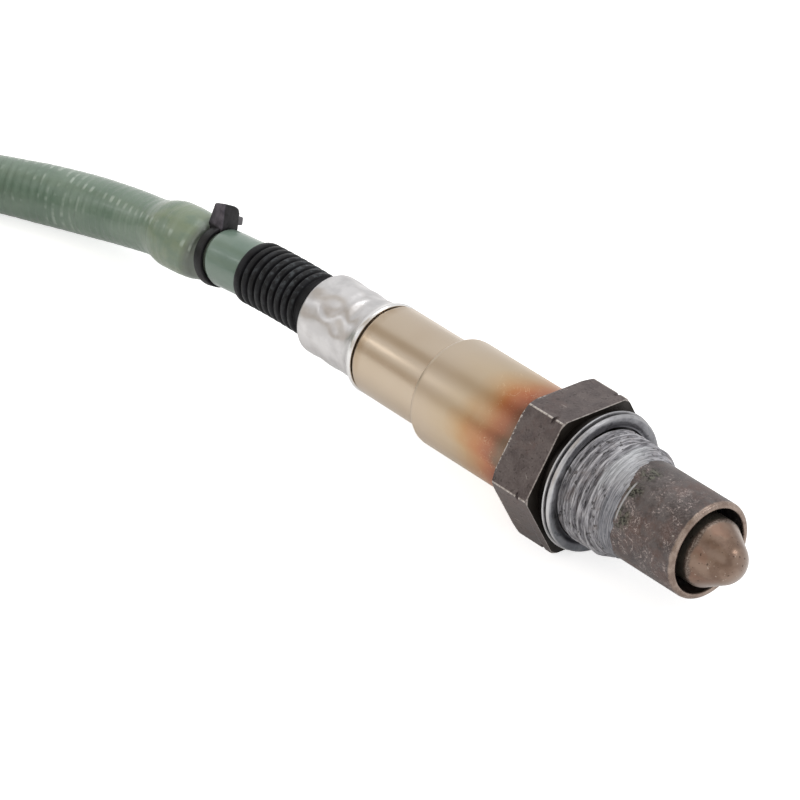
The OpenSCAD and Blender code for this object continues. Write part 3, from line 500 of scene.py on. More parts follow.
grime = effect("grime", grime_mask, Size=0.003, Amount=0.5)
flecks = effect("flecks", flecks_mask, Size=0.0004, Share=0.1)
scratches = effect("scratches", scratches_mask, Spacing=0.001, Share=0.3)


def facing(where, degrees):
    """How far a point stands out from the axis towards one side, in metres."""
    turn = math.radians(degrees)
    return put(where.tree, "VectorMath", "Value", operation="DOT_PRODUCT", _0=where,
               _1=(0, math.cos(turn), math.sin(turn)))


def from_axis(where):
    """Distance from the sensor's axis, in metres."""
    return put(where.tree, "VectorMath", "Value", operation="LENGTH", _0=stretch(where, 0))


def most(first, *others):
    """The greatest of some values."""
    for other in others:
        first = calc("MAXIMUM", first, other)
    return first


browned = Finish("shell_browned_steel", Metallic=0.75)
where = browned.where
station, radius = part(where, "X"), from_axis(where)
blotches = apply(grime, where, Size=0.0024, Amount=0.5)
browned.colour = tint(blotches, (92, 83, 82), (112, 103, 101))
speckle = cloud(where, 0.0003, 3.0, 0.7)
browned.lay(fade(speckle, 0.52, 0.72, 0.0, 0.5), (70, 62, 62))
browned.lay(fade(speckle, 0.46, 0.3, 0.0, 0.4), (132, 124, 122))
browned.lay(apply(grime, where, Size=0.0045, Amount=0.34) * 0.4, (112, 88, 82))
browned.lay(apply(flecks, where, Size=0.0006, Share=0.22) * 0.5, (66, 59, 58))
# The spanner has scratched the flats, and handling has worn their edges to bright broken lines.
cuts = apply(scratches, stretch(where, z=0.3), Spacing=0.0022, Share=0.12)
browned.lay(cuts * fade(cloud(where, 0.0024, 2.0), 0.56, 0.64) * 0.6, (190, 182, 178))
edge_noise = cloud(where, 0.0004, 3.0, 0.7)
broken = fade(edge_noise, 0.36, 0.56, 0.25)
at_corner = fade(radius, 0.01258, 0.01266) * broken
at_front = fade(station, -0.00332, -0.0032) * (broken * 0.55)
at_rear = (fade(station + edge_noise * 0.0018, -0.00975, -0.01015)
           * fade(facing(where, 170), 0.002, 0.009, 0.25))
on_hex = fade(station, -0.01096, -0.01088) * fade(station, -0.00302, -0.00306)
browned.lay(on_hex * most(at_corner, at_front, at_rear), (206, 199, 193))
# The front face and the neck are painted dark, as painted shade between the hex and the gasket, and
# are made dull.
front_shade = fade(station, -0.00306, -0.00302)
browned.lay(front_shade, (40, 35, 31))
# The thread: rubbed bright on its crests, painted dark in its grooves as painted shade, with grey
# paste smeared round it.
smears = cloud(stretch(where, 9, 0.65, 0.65), 0.0026, 5.0, 0.65, 0.2)
thin_smears = cloud(stretch(where, 14), 0.0022, 4.0, 0.65)
paste = tint(fade(smears, 0.36, 0.66), (104, 103, 108), (168, 167, 173))
paste = tint(fade(thin_smears, 0.5, 0.62, 0.0, 0.75), paste, (208, 207, 212))
paste = tint(fade(thin_smears, 0.46, 0.34, 0.0, 0.75), paste, (52, 50, 53))
# Painted shade deep in the grooves.
groove_shade = fade(radius, 0.0086, 0.0083, 0.0, 0.4) * fade(station, 0.0066, 0.0060)
paste = tint(groove_shade, paste, (62, 60, 63))
on_crest = fade(radius, 0.00882, 0.00892) * fade(smears, 0.4, 0.56, 0.1, 0.75)
paste = tint(on_crest, paste, (204, 204, 208))
dirt = apply(flecks, stretch(where, 2.2), Size=0.0011, Share=0.2)
paste = tint(dirt * 0.8, paste, (42, 40, 40))
paste = tint(apply(grime, where, Size=0.0028, Amount=0.4) * 0.3, paste, (146, 130, 122))
# On the front turns the paste is lighter on the upper side: fresh paste, with a painted highlight
# laid on it there.
upper_smear_highlight = (fade(facing(where, 108), 0.0062, 0.0086)
               * fade(station + smears * 0.0016, 0.0052, 0.0062))
drawn = cloud(stretch(where, 12, 0.7, 0.7), 0.003, 4.0, 0.7)
fresh = tint(fade(drawn, 0.4, 0.6), (146, 148, 152), (208, 210, 214))
fresh = tint(fade(drawn, 0.6, 0.68), fresh, (112, 113, 118))
paste = tint(upper_smear_highlight * 0.9, paste, fresh)
bluish = fade(station, 0.0068, 0.0076) * fade(facing(where, 190), 0.003, 0.006, 0.0, 0.6)
paste = tint(bluish, paste, tint(fade(smears, 0.42, 0.6), (104, 108, 116), (150, 152, 160)))
pasted = fade(station, -0.0009, -0.0006)
browned.lay(pasted, paste)
ridged = relief(thin_smears, 0.00006, relief(smears, 0.00014))
normal = put(browned.tree, "Mix", 1, data_type="VECTOR", _0=pasted,
             _4=relief(speckle, 0.00002), _5=ridged)
browned.feed(Roughness=fade(blotches, 0.0, 1.0, 0.42, 0.55) + pasted * 0.02, Normal=normal,
             Metallic=0.75 - (pasted * 0.2 + front_shade * 0.3))
piece_of(shell_mesh, "threaded_shell", browned, "shell_steel", "hex_shell", crease=28)

# Gasket: a ring folded from thin sheet steel: a thin flange behind, a narrow gap, and a roll that
# is flattened at the front. It hangs on the neck and sits a little high on the axis.
gasket_mesh = bmesh.new()
turned(gasket_mesh, [
    (-3.0, 8.4), (-3.0, 10.4, 0.25), (-1.36, 10.4, 0.15), (-1.36, 11.2, 0.11),
    (-1.08, 11.2, 0.11), (-1.08, 10.3, 0.05), (-0.82, 10.3, 0.05), (-0.82, 10.98, 0.32),
    (0, 10.98, 0.6), (0, 9.9, 0.3), (-0.35, 9.3, 0.12), (-0.35, 9.06), (-1.45, 9.06),
    (-1.45, 8.4)], steps=256)
bmesh.ops.translate(gasket_mesh, verts=gasket_mesh.verts, vec=(0, 0, 0.2 * MM))
sheet_steel = Finish("gasket_sheet_steel", Metallic=0.85)
where = sheet_steel.where
station, radius = part(where, "X"), from_axis(where)
turning = cloud(stretch(where, 10, 1.2, 1.2), 0.004, 4.0, 0.65)
smear = apply(grime, stretch(where, 3), Size=0.0035, Amount=0.5)
sheet_steel.colour = tint(smear, (140, 141, 146), (182, 184, 189))
sheet_steel.lay(fade(turning, 0.5, 0.68, 0.0, 0.6), (202, 203, 206))
sheet_steel.lay(apply(flecks, stretch(where, 2), Size=0.0012, Share=0.24) * 0.55, (78, 77, 82))
# Two sides of the ring are painted darker, as painted shade. The rims of the flange and the roll
# are rubbed bright, with a painted highlight laid on them, less on top. The body behind and the gap
# between them are painted dark as painted shade, and so is the slope down to the thread.
shaded_side = fade(facing(where, 60), 0.002, 0.009)
sheet_steel.lay(shaded_side * 0.55, (84, 82, 86))
sheet_steel.lay(fade(facing(where, 235), 0.004, 0.0095) * 0.6, (84, 86, 92))
rubbed_and_highlit = fade(radius, 0.01066, 0.0109) * (
    fade(turning, 0.3, 0.55, 0.35, 0.9) * fade(shaded_side, 0.0, 1.0, 1.0, 0.4))
sheet_steel.lay(rubbed_and_highlit, (206, 205, 206))
behind = fade(station, -0.00135, -0.0014)
gap_shade = fade(radius, 0.0107, 0.0104) * (
    fade(station, -0.0011, -0.00105) * fade(station, -0.00078, -0.00083))
sheet_steel.lay(most(behind, gap_shade), tint(turning, (32, 29, 28), (54, 49, 46)))
sheet_steel.lay(fade(radius, 0.01, 0.0094) * 0.5, (84, 84, 90))
sheet_steel.feed(Roughness=fade(smear, 0.0, 1.0, 0.3, 0.42), Normal=relief(turning, 0.00003))
piece_of(gasket_mesh, "folded_gasket", sheet_steel, "gasket_steel", "sealing_gasket")

# Outer protection tube: drawn steel, rolled in at its mouth and welded to the shell's spigot. The
# gas has left brown-grey scale on it, with pale grit, and rubbed the lip to a coppery shine.
OUTER_R = 7.7
outer_mesh = bmesh.new()
turned(outer_mesh, [(7.25, 7.2), (7.25, OUTER_R, 0.1), (22.2, OUTER_R, 0.68), (22.2, 6.7, 0.28),
                    (21.6, 6.7, 0.24), (21.6, 7.2, 0.4)], steps=224)
scaled = Finish("outer_tube_scaled_steel", Metallic=0.7)
where, station = scaled.where, part(scaled.where, "X")
blotches = apply(grime, where, Size=0.0036, Amount=0.5)
scaled.colour = tint(blotches, (80, 73, 72), (106, 100, 99))
dark = apply(grime, stretch(where, 1.0, 1.3, 1.3), Size=0.0022, Amount=0.36)
scaled.lay(dark * 0.6, (56, 51, 50))
scaled.lay(apply(grime, where, Size=0.005, Amount=0.46) * 0.6, (106, 84, 77))
speckle = cloud(where, 0.00035, 4.0, 0.75)
scaled.lay(fade(speckle, 0.5, 0.7, 0.0, 0.4), (128, 121, 118))
# Grit lies in thin powdery veins and clusters.
winding = cloud(where, 0.0028, 3.0, 0.6, 0.8)
vein = fade(calc("ABSOLUTE", winding - 0.5), 0.045, 0.0)
patchy = fade(cloud(where, 0.0042), 0.43, 0.54) * fade(facing(where, 165), -0.001, 0.005, 0.15)
powdery = fade(cloud(where, 0.00026, 3.0, 0.75), 0.42, 0.64)
scaled.lay(patchy * powdery * fade(vein, 0.0, 1.0, 0.2), (180, 166, 162))
scaled.lay(apply(flecks, where, Size=0.00045, Share=0.06) * 0.6, (196, 188, 180))


def spot(where, x, degrees, size):
    """A round blot on the tube at a station and an angle, in millimetres and degrees."""
    turn = math.radians(degrees)
    middle = (x * MM, OUTER_R * MM * math.cos(turn), OUTER_R * MM * math.sin(turn))
    away = put(where.tree, "VectorMath", "Value", operation="DISTANCE", _0=where, _1=middle)
    return fade(away, size * MM, size * 0.35 * MM)


# Dark greenish soot and a thin arc of paste lie beyond the skirt of paste.
spots = most(spot(where, 10.8, 128, 2.0), spot(where, 11.0, 160, 2.4), spot(where, 10.4, 100, 2.2))
soot = spots * fade(cloud(where, 0.0011), 0.38, 0.56)
mottle = tint(fade(cloud(where, 0.00045, 3.0, 0.7), 0.42, 0.6), (36, 35, 31), (110, 110, 98))
scaled.lay(soot * 0.95, mottle)
arc = (fade(station, 0.00985, 0.0100) * fade(station, 0.0103, 0.01015)
       * fade(facing(where, 142), 0.0069, 0.0073))
scaled.lay(arc * 0.85, (186, 186, 188))
lip = fade(station + cloud(where, 0.0009) * 0.0006, 0.0217, 0.0221)
brushed = fade(cloud(where, 0.0016, 3.0, 0.6), 0.34, 0.66)
scaled.lay(lip, tint(brushed, (134, 116, 106), (166, 149, 138)))
scaled.feed(Roughness=fade(blotches, 0.0, 1.0, 0.42, 0.56) - lip * 0.22,
            Normal=relief(speckle, 0.00004))
piece_of(outer_mesh, "outer_tube", scaled, "outer_tube_steel", "outer_protection_tube")

# Inner protection tube: a deep-drawn bullet with a cone and a rounded tip, held by its flange in
# the shell. Heat has tinted it copper-brown, and its shoulder is rough and grey.
TIP_X = 24.8
TIP_R = 3.7
inner_mesh = bmesh.new()
nose = [(TIP_X + TIP_R * math.cos(math.radians(a)), TIP_R * math.sin(math.radians(a)))
        for a in range(58, -1, -6)]
lining = [(TIP_X + (TIP_R - 0.4) * math.cos(math.radians(a)),
           (TIP_R - 0.4) * math.sin(math.radians(a))) for a in range(0, 61, 10)]
nose[-1], lining[0] = (28.5, 0), (28.1, 0)
outline = [(x, r, 0) for x, r in lining] + [
    (22.7, 5.0, 0.3), (3.5, 5.0, 0), (3.5, 6.5, 0), (4.0, 6.5, 0), (4.0, 5.4, 0),
    (22.84, 5.4, 0.4), (26.63, 3.21, 0)] + [(x, r, 0) for x, r in nose]
turned(inner_mesh, outline, steps=160, closed=False)
tinted = Finish("inner_tube_tinted_steel", Metallic=0.85)
where, station = tinted.where, part(tinted.where, "X")
patches = cloud(where, 0.0028)
tinted.colour = tint(fade(patches, 0.38, 0.62), (120, 99, 86), (142, 121, 107))
tinted.lay(fade(cloud(where, 0.0036, 2.0), 0.5, 0.62) * 0.4, (138, 104, 88))
# Its lower side is painted lighter and greyer, as painted light.
tinted.lay(fade(facing(where, 320), -0.0018, 0.0022) * 0.8, (168, 156, 148))
fine = cloud(where, 0.00028, 3.0, 0.7)
shoulder = fade(station, 0.0222, 0.0226) * fade(station + patches * 0.0014, 0.0242, 0.0237)
tinted.lay(shoulder * 0.7, tint(fade(fine, 0.42, 0.6), (74, 67, 62), (142, 133, 126)))
tinted.lay(fade(station, 0.0226, 0.0221), (128, 122, 112))
tinted.lay(apply(flecks, where, Size=0.0006, Share=0.12) * 0.7, (62, 50, 44))
tinted.lay(apply(flecks, stretch(where, 1.2), Size=0.0005, Share=0.1) * 0.5, (198, 184, 172))
tinted.feed(Roughness=fade(patches, 0.3, 0.7, 0.27, 0.33) + shoulder * 0.14,
            Normal=relief(cloud(where, 0.0009), 0.00003, relief(fine, 0.000008)))
piece_of(inner_mesh, "inner_tube", tinted, "inner_tube_steel", "inner_protection_tube")

# Protective sleeve: a stepped stainless tube, laser-welded over the shell's collar. It has a satin
# golden tint, and the heat of the weld coloured it orange, red and brown towards the hex.
sleeve_mesh = bmesh.new()
turned(sleeve_mesh, [
    (-10.93, 8.35), (-10.93, 8.85, 0.1), (-33.9, 8.85, 1.38), (-33.9, 7.45, 0.7),
    (-48.7, 7.45, 0.8), (-48.7, 6.0, 0.3), (-60.7, 6.0), (-60.7, 5.5), (-48.2, 5.5),
    (-48.2, 6.95, 0.5), (-33.4, 6.95), (-33.4, 8.35, 1.0)], steps=256)


def ramp(value, *stops):
    """Colours one after another along a value, each given where it is reached."""
    start, end = stops[0][0], stops[-1][0]
    node = value.tree.nodes.new("ShaderNodeValToRGB")
    fill(node, {"Fac": put(value.tree, "MapRange", _0=value, _1=start, _2=end, _3=0.0, _4=1.0)})
    points = node.color_ramp.elements
    points[0].color, points[-1].color = srgb(*stops[0][1:]), srgb(*stops[-1][1:])
    for at, *colour in stops[1:-1]:
        points.new((at - start) / (end - start)).color = srgb(*colour)
    return Value(value.tree, node.outputs["Color"])


golden = Finish("sleeve_golden_stainless", Metallic=1.0)
where, station = golden.where, part(golden.where, "X")
# The heat lines are warped by noise, and reach less far on one side, as the weld warmed the tube
# unevenly.
cooler = fade(facing(where, 160), 0.0005, 0.0060, -0.0014, 0.0006)
hotter = fade(facing(where, 168), 0.0083, 0.0088, 0.0, 0.0018)
heat = station + (cooler + hotter) + (cloud(where, 0.0055) - 0.5) * 0.0035
burnt = ramp(heat, (-0.0300, 199, 183, 163), (-0.0235, 197, 178, 152), (-0.0205, 193, 163, 128),
             (-0.0185, 188, 144, 104), (-0.0168, 181, 118, 74), (-0.0155, 170, 94, 56),
             (-0.0142, 148, 70, 42), (-0.0128, 112, 58, 42), (-0.0118, 88, 62, 54))
drift = cloud(where, 0.012, 2.0)
golden.colour = tint(fade(drift, 0.62, 0.36, 0.0, 0.3), burnt, (190, 171, 148))
# A dull ring stands at the narrow end, by the collar, and a few fine lines cross the gold near the
# hex.
dull = fade(station, -0.0462, -0.0480) * fade(cloud(where, 0.004), 0.38, 0.6, 0.3, 0.8)
golden.lay(dull, (176, 154, 128))
crossing = put(golden.tree, "Mapping", Vector=where, Rotation=(0, 0.5, 0.9))
lines_seen = (apply(scratches, crossing, Spacing=0.0012, Share=0.16)
              * fade(station, -0.0235, -0.0190) * fade(cloud(where, 0.004, 2.0), 0.5, 0.62))
golden.lay(lines_seen * 0.5, (232, 212, 176))
# The rounding of the step is painted as a bright thin arc, a painted highlight.
step_highlight = fade(station, -0.0345, -0.0342) * fade(station, -0.0336, -0.0339)
golden.lay(step_highlight * 0.6, (222, 212, 196))
dusty = apply(flecks, where, Size=0.0003, Share=0.2) * fade(heat, -0.0225, -0.0185)
golden.lay(dusty * 0.1, (226, 200, 158))
smoother = fade(station, -0.0338, -0.0344, 0.0, 0.08)
golden.feed(Roughness=fade(drift, 0.3, 0.7, 0.3, 0.35) + (lines_seen * 0.1 - smoother),
            Normal=relief(cloud(stretch(where, 0.3), 0.0016, 2.0), 0.00001))
piece_of(sleeve_mesh, "stepped_sleeve", golden, "sleeve_steel", "protective_sleeve")

# Crimp collar: a bright steel ring pressed over the sleeve's neck and the boot's flange. The jaws
# leave a dimple and ridges all round, and its front rim is flared and polished.
COLLAR_R = 6.6
COLLAR_INSIDE = 6.3
collar_mesh = bmesh.new()
turned(collar_mesh, [
    (-48.87, 7.0), (-48.87, 7.35, 0.1), (-49.1, 7.5, 0.1), (-49.45, 7.5, 0.2),
    (-51.2, COLLAR_R, 0.8), (-62.74, COLLAR_R, 0.6), (-62.74, 4.82, 0.1), (-62.15, 4.82),
    (-62.15, 6.05), (-49.5, 6.05)], steps=288, cuts=(0.16, COLLAR_INSIDE))
# Each dent: station, angle round the axis, half length, half width and depth, in mm and degrees.
DENTS = [(-56.9, 130, 1.5, 1.6, 0.46), (-53.0, 116, 0.9, 2.2, 0.34), (-54.0, 150, 1.2, 1.3, 0.26),
         (-55.0, 84, 0.8, 2.4, 0.24), (-53.6, 64, 0.9, 1.8, 0.18), (-60.4, 152, 1.2, 1.6, 0.08),
         (-58.6, 172, 1.9, 1.3, 0.1), (-54.0, 187, 1.8, 1.3, 0.1), (-58.8, 206, 1.8, 1.6, 0.14),
         (-54.4, 222, 1.8, 1.8, 0.16), (-59.8, 92, 1.4, 1.8, 0.1), (-58.6, 58, 1.6, 1.8, 0.2),
         (-54.2, 40, 1.6, 1.8, 0.2), (-58.8, 14, 1.8, 1.6, 0.2), (-54.2, -6, 1.8, 1.8, 0.16),
         (-58.8, -28, 1.6, 1.6, 0.18), (-54.6, -52, 1.8, 1.6, 0.18), (-58.6, -78, 1.8, 1.6, 0.2),
         (-54.4, -104, 1.8, 1.8, 0.16), (-58.6, -124, 1.6, 1.6, 0.18)]
for v in collar_mesh.verts:
    x, radius = v.co.x / MM, math.hypot(v.co.y, v.co.z) / MM
    if radius < COLLAR_INSIDE or x > -51:
        continue
    angle = math.degrees(math.atan2(v.co.z, v.co.y))
    pushed = 0.05 * noise.noise(v.co / MM * 0.55)
    for at, turn, length, breadth, depth in DENTS:
        off = ((angle - turn + 180) % 360 - 180) * math.radians(1) * COLLAR_R
        far = math.hypot((x - at) / length, off / breadth)
        pushed += depth * (math.exp(-1.3 * far ** 2.3) - 0.1 * math.exp(-((far - 1.6) / 0.5) ** 2))
    ease = min(1, (-51 - x) / 1.2, (x + 62.7) / 0.9)
    widen(v, 1 - max(0, ease) * max(-0.05, pushed) / radius)
bright_steel = Finish("collar_bright_steel", Metallic=1.0)
where = bright_steel.where
hazy = cloud(where, 0.0035)
bright_steel.colour = tint(fade(hazy, 0.36, 0.64), (200, 198, 198), (218, 216, 216))
faint = fade(cloud(stretch(where, 0.35, 1.2, 1.2), 0.002), 0.52, 0.68)
bright_steel.lay(faint * 0.2, (184, 176, 172))
# The flared rim is polished, and its colour is raised as a painted highlight.
polished_and_highlit = fade(part(where, "X"), -0.0506, -0.0498)
bright_steel.lay(polished_and_highlit * 0.8, (238, 237, 236))
bright_steel.feed(Roughness=fade(hazy, 0.3, 0.7, 0.29, 0.36) - polished_and_highlit * 0.08,
                  Normal=relief(cloud(where, 0.0016, 2.0), 0.00003))
piece_of(collar_mesh, "crimped_collar", bright_steel, "collar_steel", "crimp_collar")

# Boot: moulded black rubber with nine round ribs, its flange gripped by the collar.
boot_mesh = bmesh.new()
ribs = []
for k in range(9):
    rib = -66.15 - 1.6 * k
    ribs += [(rib + 0.66, 4.62, 0.1), (rib + 0.42, 5.25, 0.26), (rib - 0.42, 5.25, 0.26),
             (rib - 0.66, 4.62, 0.1)]
turned(boot_mesh, [(-60.75, 3.9), (-60.75, 5.45), (-62.1, 5.45), (-62.1, 4.75), *ribs[:-1],
                   (-79.73, 5.1, 0.3), (-79.75, 4.64, 0.1), (-74.8, 4.64), (-74.8, 3.9)],
       steps=144)


def sag(x):
    """How far the boot's end hangs below the axis at a station, all in millimetres."""
    return 0.53 * max(0, (-66.5 - x) / 13.25) ** 2


for v in boot_mesh.verts:
    v.co.z -= sag(v.co.x / MM) * MM
rubber = Finish("boot_black_rubber", Specular_IOR_Level=0.22)
where = rubber.where
bloom = cloud(stretch(where, 1.5), 0.003, 4.0)
rubber.colour = tint(fade(bloom, 0.4, 0.7), (15, 15, 18), (27, 28, 32))
# The crowns of the ribs that face up are painted lighter grey: dust, and a painted highlight.
dust_and_sheen_on_top = fade(facing(where, 95), 0.001, 0.0045, 0.25) * fade(cloud(where, 0.0009), 0.44, 0.66)
rubber.lay(fade(from_axis(where), 0.0049, 0.0052) * dust_and_sheen_on_top * 0.75, (74, 79, 83))
rubber.feed(Roughness=fade(bloom, 0.3, 0.7, 0.36, 0.52),
            Normal=relief(cloud(where, 0.0005), 0.00003))
piece_of(boot_mesh, "ribbed_boot_skin", rubber, "boot_rubber", "ribbed_boot")

# Inner sleeve: a short glossy bluish-green tube that carries the wires from the boot into the
# harness sleeve. It has soft dents from handling, and the tie pinches its hidden end.
inner_line = [p * MM for p in curve_through(
    [(-75, 0, -sag(-75)), (-79.75, 0, -sag(-79.75)), (-82.2, -0.1, -0.72), (-84.5, -0.25, -0.86),
     (-86.4, -0.36, -1.0), (-87.36, -0.4, -1.18)], 0.25)]
pinch_from = 11.95 * MM
lining_mesh = bmesh.new()
tube_along(lining_mesh, inner_line,
           lambda run: (4.64 - 0.62 * min(1, max(0, run - pinch_from) / MM / 0.6) ** 2) * MM, 48)
glassy = Finish("inner_sleeve_green", Coat_Weight=0.8, Coat_Roughness=0.17)
patches = cloud(stretch(glassy.where, 0.6), 0.006)
glassy.colour = tint(fade(patches, 0.35, 0.65), (98, 122, 108), (112, 133, 120))
glassy.feed(Roughness=fade(patches, 0.3, 0.7, 0.34, 0.44),
            Normal=relief(cloud(glassy.where, 0.0036, 1.0), 0.0003))
piece_of(lining_mesh, "inner_tube_sleeve", glassy, "inner_sleeve_glass", "inner_sleeve")

# Cable tie: black nylon, its strap pulled tight round the opened sleeve and its tail cut off at
# the head.
TIE_R = 4.2
TIE_W = 1.75
TIE_T = 0.66
HEAD_FOOT = TIE_R - 0.4
HEAD_WAIST = TIE_R + 2
tie_mesh = bmesh.new()
strap = [tie_mesh.verts.new((x * MM, 0, r * MM)) for x, r in (
    (-TIE_W / 2, TIE_R), (-TIE_W / 2, TIE_R + TIE_T), (TIE_W / 2, TIE_R + TIE_T),
    (TIE_W / 2, TIE_R))]
for pair in zip(strap, strap[1:] + strap[:1]):
    tie_mesh.edges.new(pair)
soften(tie_mesh, strap, 0.2, what="VERTICES")
bmesh.ops.spin(tie_mesh, geom=every(tie_mesh), axis=(1, 0, 0), cent=(0, 0, 0),
               angle=math.tau, steps=128, use_merge=True)


def block(mesh, low, high, soft):
    """A box between two corners in millimetres, with softened edges."""
    made = bmesh.ops.create_cube(mesh, size=1)["verts"]
    size = Vector(high) - Vector(low)
    bmesh.ops.scale(mesh, verts=made, vec=size * MM)
    bmesh.ops.translate(mesh, verts=made, vec=(Vector(low) + size / 2) * MM)
    if soft:
        soften(mesh, list({e for v in made for e in v.link_edges}), soft)
    return made


head = block(tie_mesh, (-2.5, -1.7, TIE_R - 0.3), (1.35, 1.8, TIE_R + 4.4), 0)
for v in head:
    if v.co.z > HEAD_WAIST * MM:
        v.co.z -= max(0, v.co.y) * 0.3
        if v.co.x < 0:
            v.co.x += 1.4 * MM
            v.co.z -= 0.2 * MM
soften(tie_mesh, [e for e in {e for v in head for e in v.link_edges}
                  if all(v.co.z > HEAD_WAIST * MM and v.co.y > 0 for v in e.verts)], 1.0, 2)
head = [v for v in tie_mesh.verts if v.co.z > HEAD_WAIST * MM
        or v.co.z > HEAD_FOOT * MM and abs(v.co.x) > 1.3 * MM]
soften(tie_mesh, list({e for v in head for e in v.link_edges}), 0.32)
block(tie_mesh, (-0.9, 1.5, TIE_R + TIE_T + 0.3), (0.9, 3.0, TIE_R + 2 * TIE_T + 1.0), 0.25)
ahead = Vector((2.9, 0.06, 0.7)).normalized()
lean = Matrix.Rotation(math.atan2(ahead.y, ahead.x), 4, "Z") @ Matrix.Rotation(
    -math.asin(ahead.z), 4, "Y") @ Matrix.Rotation(math.radians(-18), 4, "X")
bmesh.ops.transform(tie_mesh, verts=tie_mesh.verts,
                    matrix=Matrix.Translation(Vector((-88.65, -0.43, -1.5)) * MM) @ lean)
nylon = Finish("tie_black_nylon", Specular_IOR_Level=0.3)
where = nylon.where
worn = cloud(where, 0.0018, 4.0)
nylon.colour = tint(fade(worn, 0.42, 0.68), (18, 18, 20), (32, 30, 34))
# The flank of the head that the strap enters is painted grey, a painted sheen with scuffs in it,
# and the cut tail is frayed pale.
raised = fade(part(where, "Z"), 0.0032, 0.0037)
across = facing(where, -18)
scuffs = fade(cloud(where, 0.0014, 3.0, 0.6), 0.36, 0.7)
flank_sheen_and_scuffs = raised * fade(across, -0.0013, -0.0016)
nylon.lay(flank_sheen_and_scuffs * 0.75, tint(scuffs, (74, 69, 78), (108, 102, 112)))
nylon.lay(raised * scuffs * 0.18, (92, 88, 94))
nylon.lay(fade(across, 0.0018, 0.0021) * 0.7, (120, 118, 122))
nylon.feed(Roughness=fade(worn, 0.3, 0.7, 0.36, 0.55),
           Normal=relief(cloud(where, 0.0006, 2.0), 0.00004))
piece_of(tie_mesh, "cable_tie_loop", nylon, "tie_nylon", "cable_tie")

# Parts that stay inside the shell and the sleeve: the ceramic strip, its packing and its contacts.
# They are plain, and keep the shape of their solids.


def plain(name, size, low, high, rough, detail=3.0, grain=0.55, along=1.0, **shader):
    """A quiet finish: one soft noise mixes two colours, and two roughnesses."""
    finish = Finish(name, **shader)
    finish.mottle = cloud(stretch(finish.where, along), size, detail, grain)
    finish.colour = tint(finish.mottle, low, high)
    finish.feed(Roughness=fade(finish.mottle, 0.3, 0.7, *rough))
    return finish


ceramic = plain("packing_white_ceramic", 0.0015, (222, 219, 208), (240, 238, 230), (0.6, 0.75),
                detail=4.0)
strip = plain("element_fired_ceramic", 0.001, (214, 211, 202), (232, 230, 222), (0.45, 0.6),
              along=0.3)
powder = plain("talc_pressed_powder", 0.0006, (196, 193, 182), (222, 219, 208), (0.8, 0.95),
               detail=5.0, grain=0.7)
plain_steel = plain("inner_plain_steel", 0.004, (178, 178, 180), (204, 204, 206), (0.28, 0.4),
                    detail=2.0, along=12, Metallic=1.0)
bronze = plain("contact_plated_bronze", 0.0012, (206, 194, 152), (224, 214, 178), (0.22, 0.34),
               Metallic=1.0)
grommet_black = plain("grommet_black_rubber", 0.0012, (24, 24, 26), (38, 38, 41), (0.6, 0.75),
                      detail=4.0)
for kept, finish in (
        ("sensing_element", strip), ("lower_ceramic_bush", ceramic), ("talc_seal", powder),
        ("upper_ceramic_bush", ceramic), ("press_ring", plain_steel),
        ("contact_carrier", ceramic), ("contact_springs", bronze),
        ("carrier_clamp_ring", plain_steel), ("cable_grommet", grommet_black),
        ("plug_terminals", bronze)):
    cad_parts[kept].material_slots[0].material = finish.material

# Five insulated wires, each in its own colour: through the grommet and the boot in the middle of
# the sensor, and again bare between the shrink tube and the plug, where they turn back.
WIRE_R = 0.75
PLACES = [(-2.6, -1.2), (0, -1.2), (2.6, -1.2), (-1.3, 1.2), (1.3, 1.2)]
insulation = Finish("wire_insulation", Coat_Weight=0.2, Coat_Roughness=0.3)
scuffs = cloud(insulation.where, 0.0016)
insulation.colour = put(insulation.tree, "Attribute", "Color", attribute_name="hue")
insulation.lay(fade(scuffs, 0.5, 0.75) * 0.25, (120, 118, 112))
insulation.feed(Roughness=fade(scuffs, 0.3, 0.7, 0.35, 0.5))
HUES = [srgb(228, 226, 220), srgb(226, 226, 222), srgb(52, 52, 56), srgb(128, 130, 132),
        srgb(196, 168, 60)]
BEND = Vector((-204, -27, -0.85))
BEND_R = 13.5
TILT = math.radians(15.68)
PLUG_BACK = Vector((-189.2, -40, -4.5))


def wires(name, routes, *solids):
    """Five round wires along five routes in millimetres, each with its own colour."""
    mesh = bmesh.new()
    hue = mesh.verts.layers.float_color.new("hue")
    known = set()
    for line, colour in zip(routes, HUES):
        for end in tube_along(mesh, [p * MM for p in curve_through(line, 0.8)],
                              lambda run: WIRE_R * MM, 14):
            bmesh.ops.contextual_create(mesh, geom=end)
        for v in mesh.verts:
            if v not in known:
                v[hue] = colour
                known.add(v)
    return piece_of(mesh, name, insulation, "wire_insulation", *solids)


wires("sensor_wires", [[(-81, y, z), (-60, y, z), (-43.3, y, z)] for y, z in PLACES],
      "lead_wires")
loops = []
for y, z in PLACES:
    u = -(y * math.cos(TILT) + z * math.sin(TILT))
    w = -y * math.sin(TILT) + z * math.cos(TILT)
    loop = []
    for k in range(-1, 10):
        turn = math.pi * max(0, k) / 9
        out = (BEND_R + u) * math.cos(turn)
        loop.append((BEND.x + (5.8 if k < 0 else -(BEND_R + u) * math.sin(turn)),
                     BEND.y + out * math.cos(TILT) - w * math.sin(TILT),
                     BEND.z + out * math.sin(TILT) + w * math.cos(TILT)))
    loops.append([*loop, PLUG_BACK + Vector((0, y, z))])
plug_leads = wires("plug_leads", loops, "plug_wires")

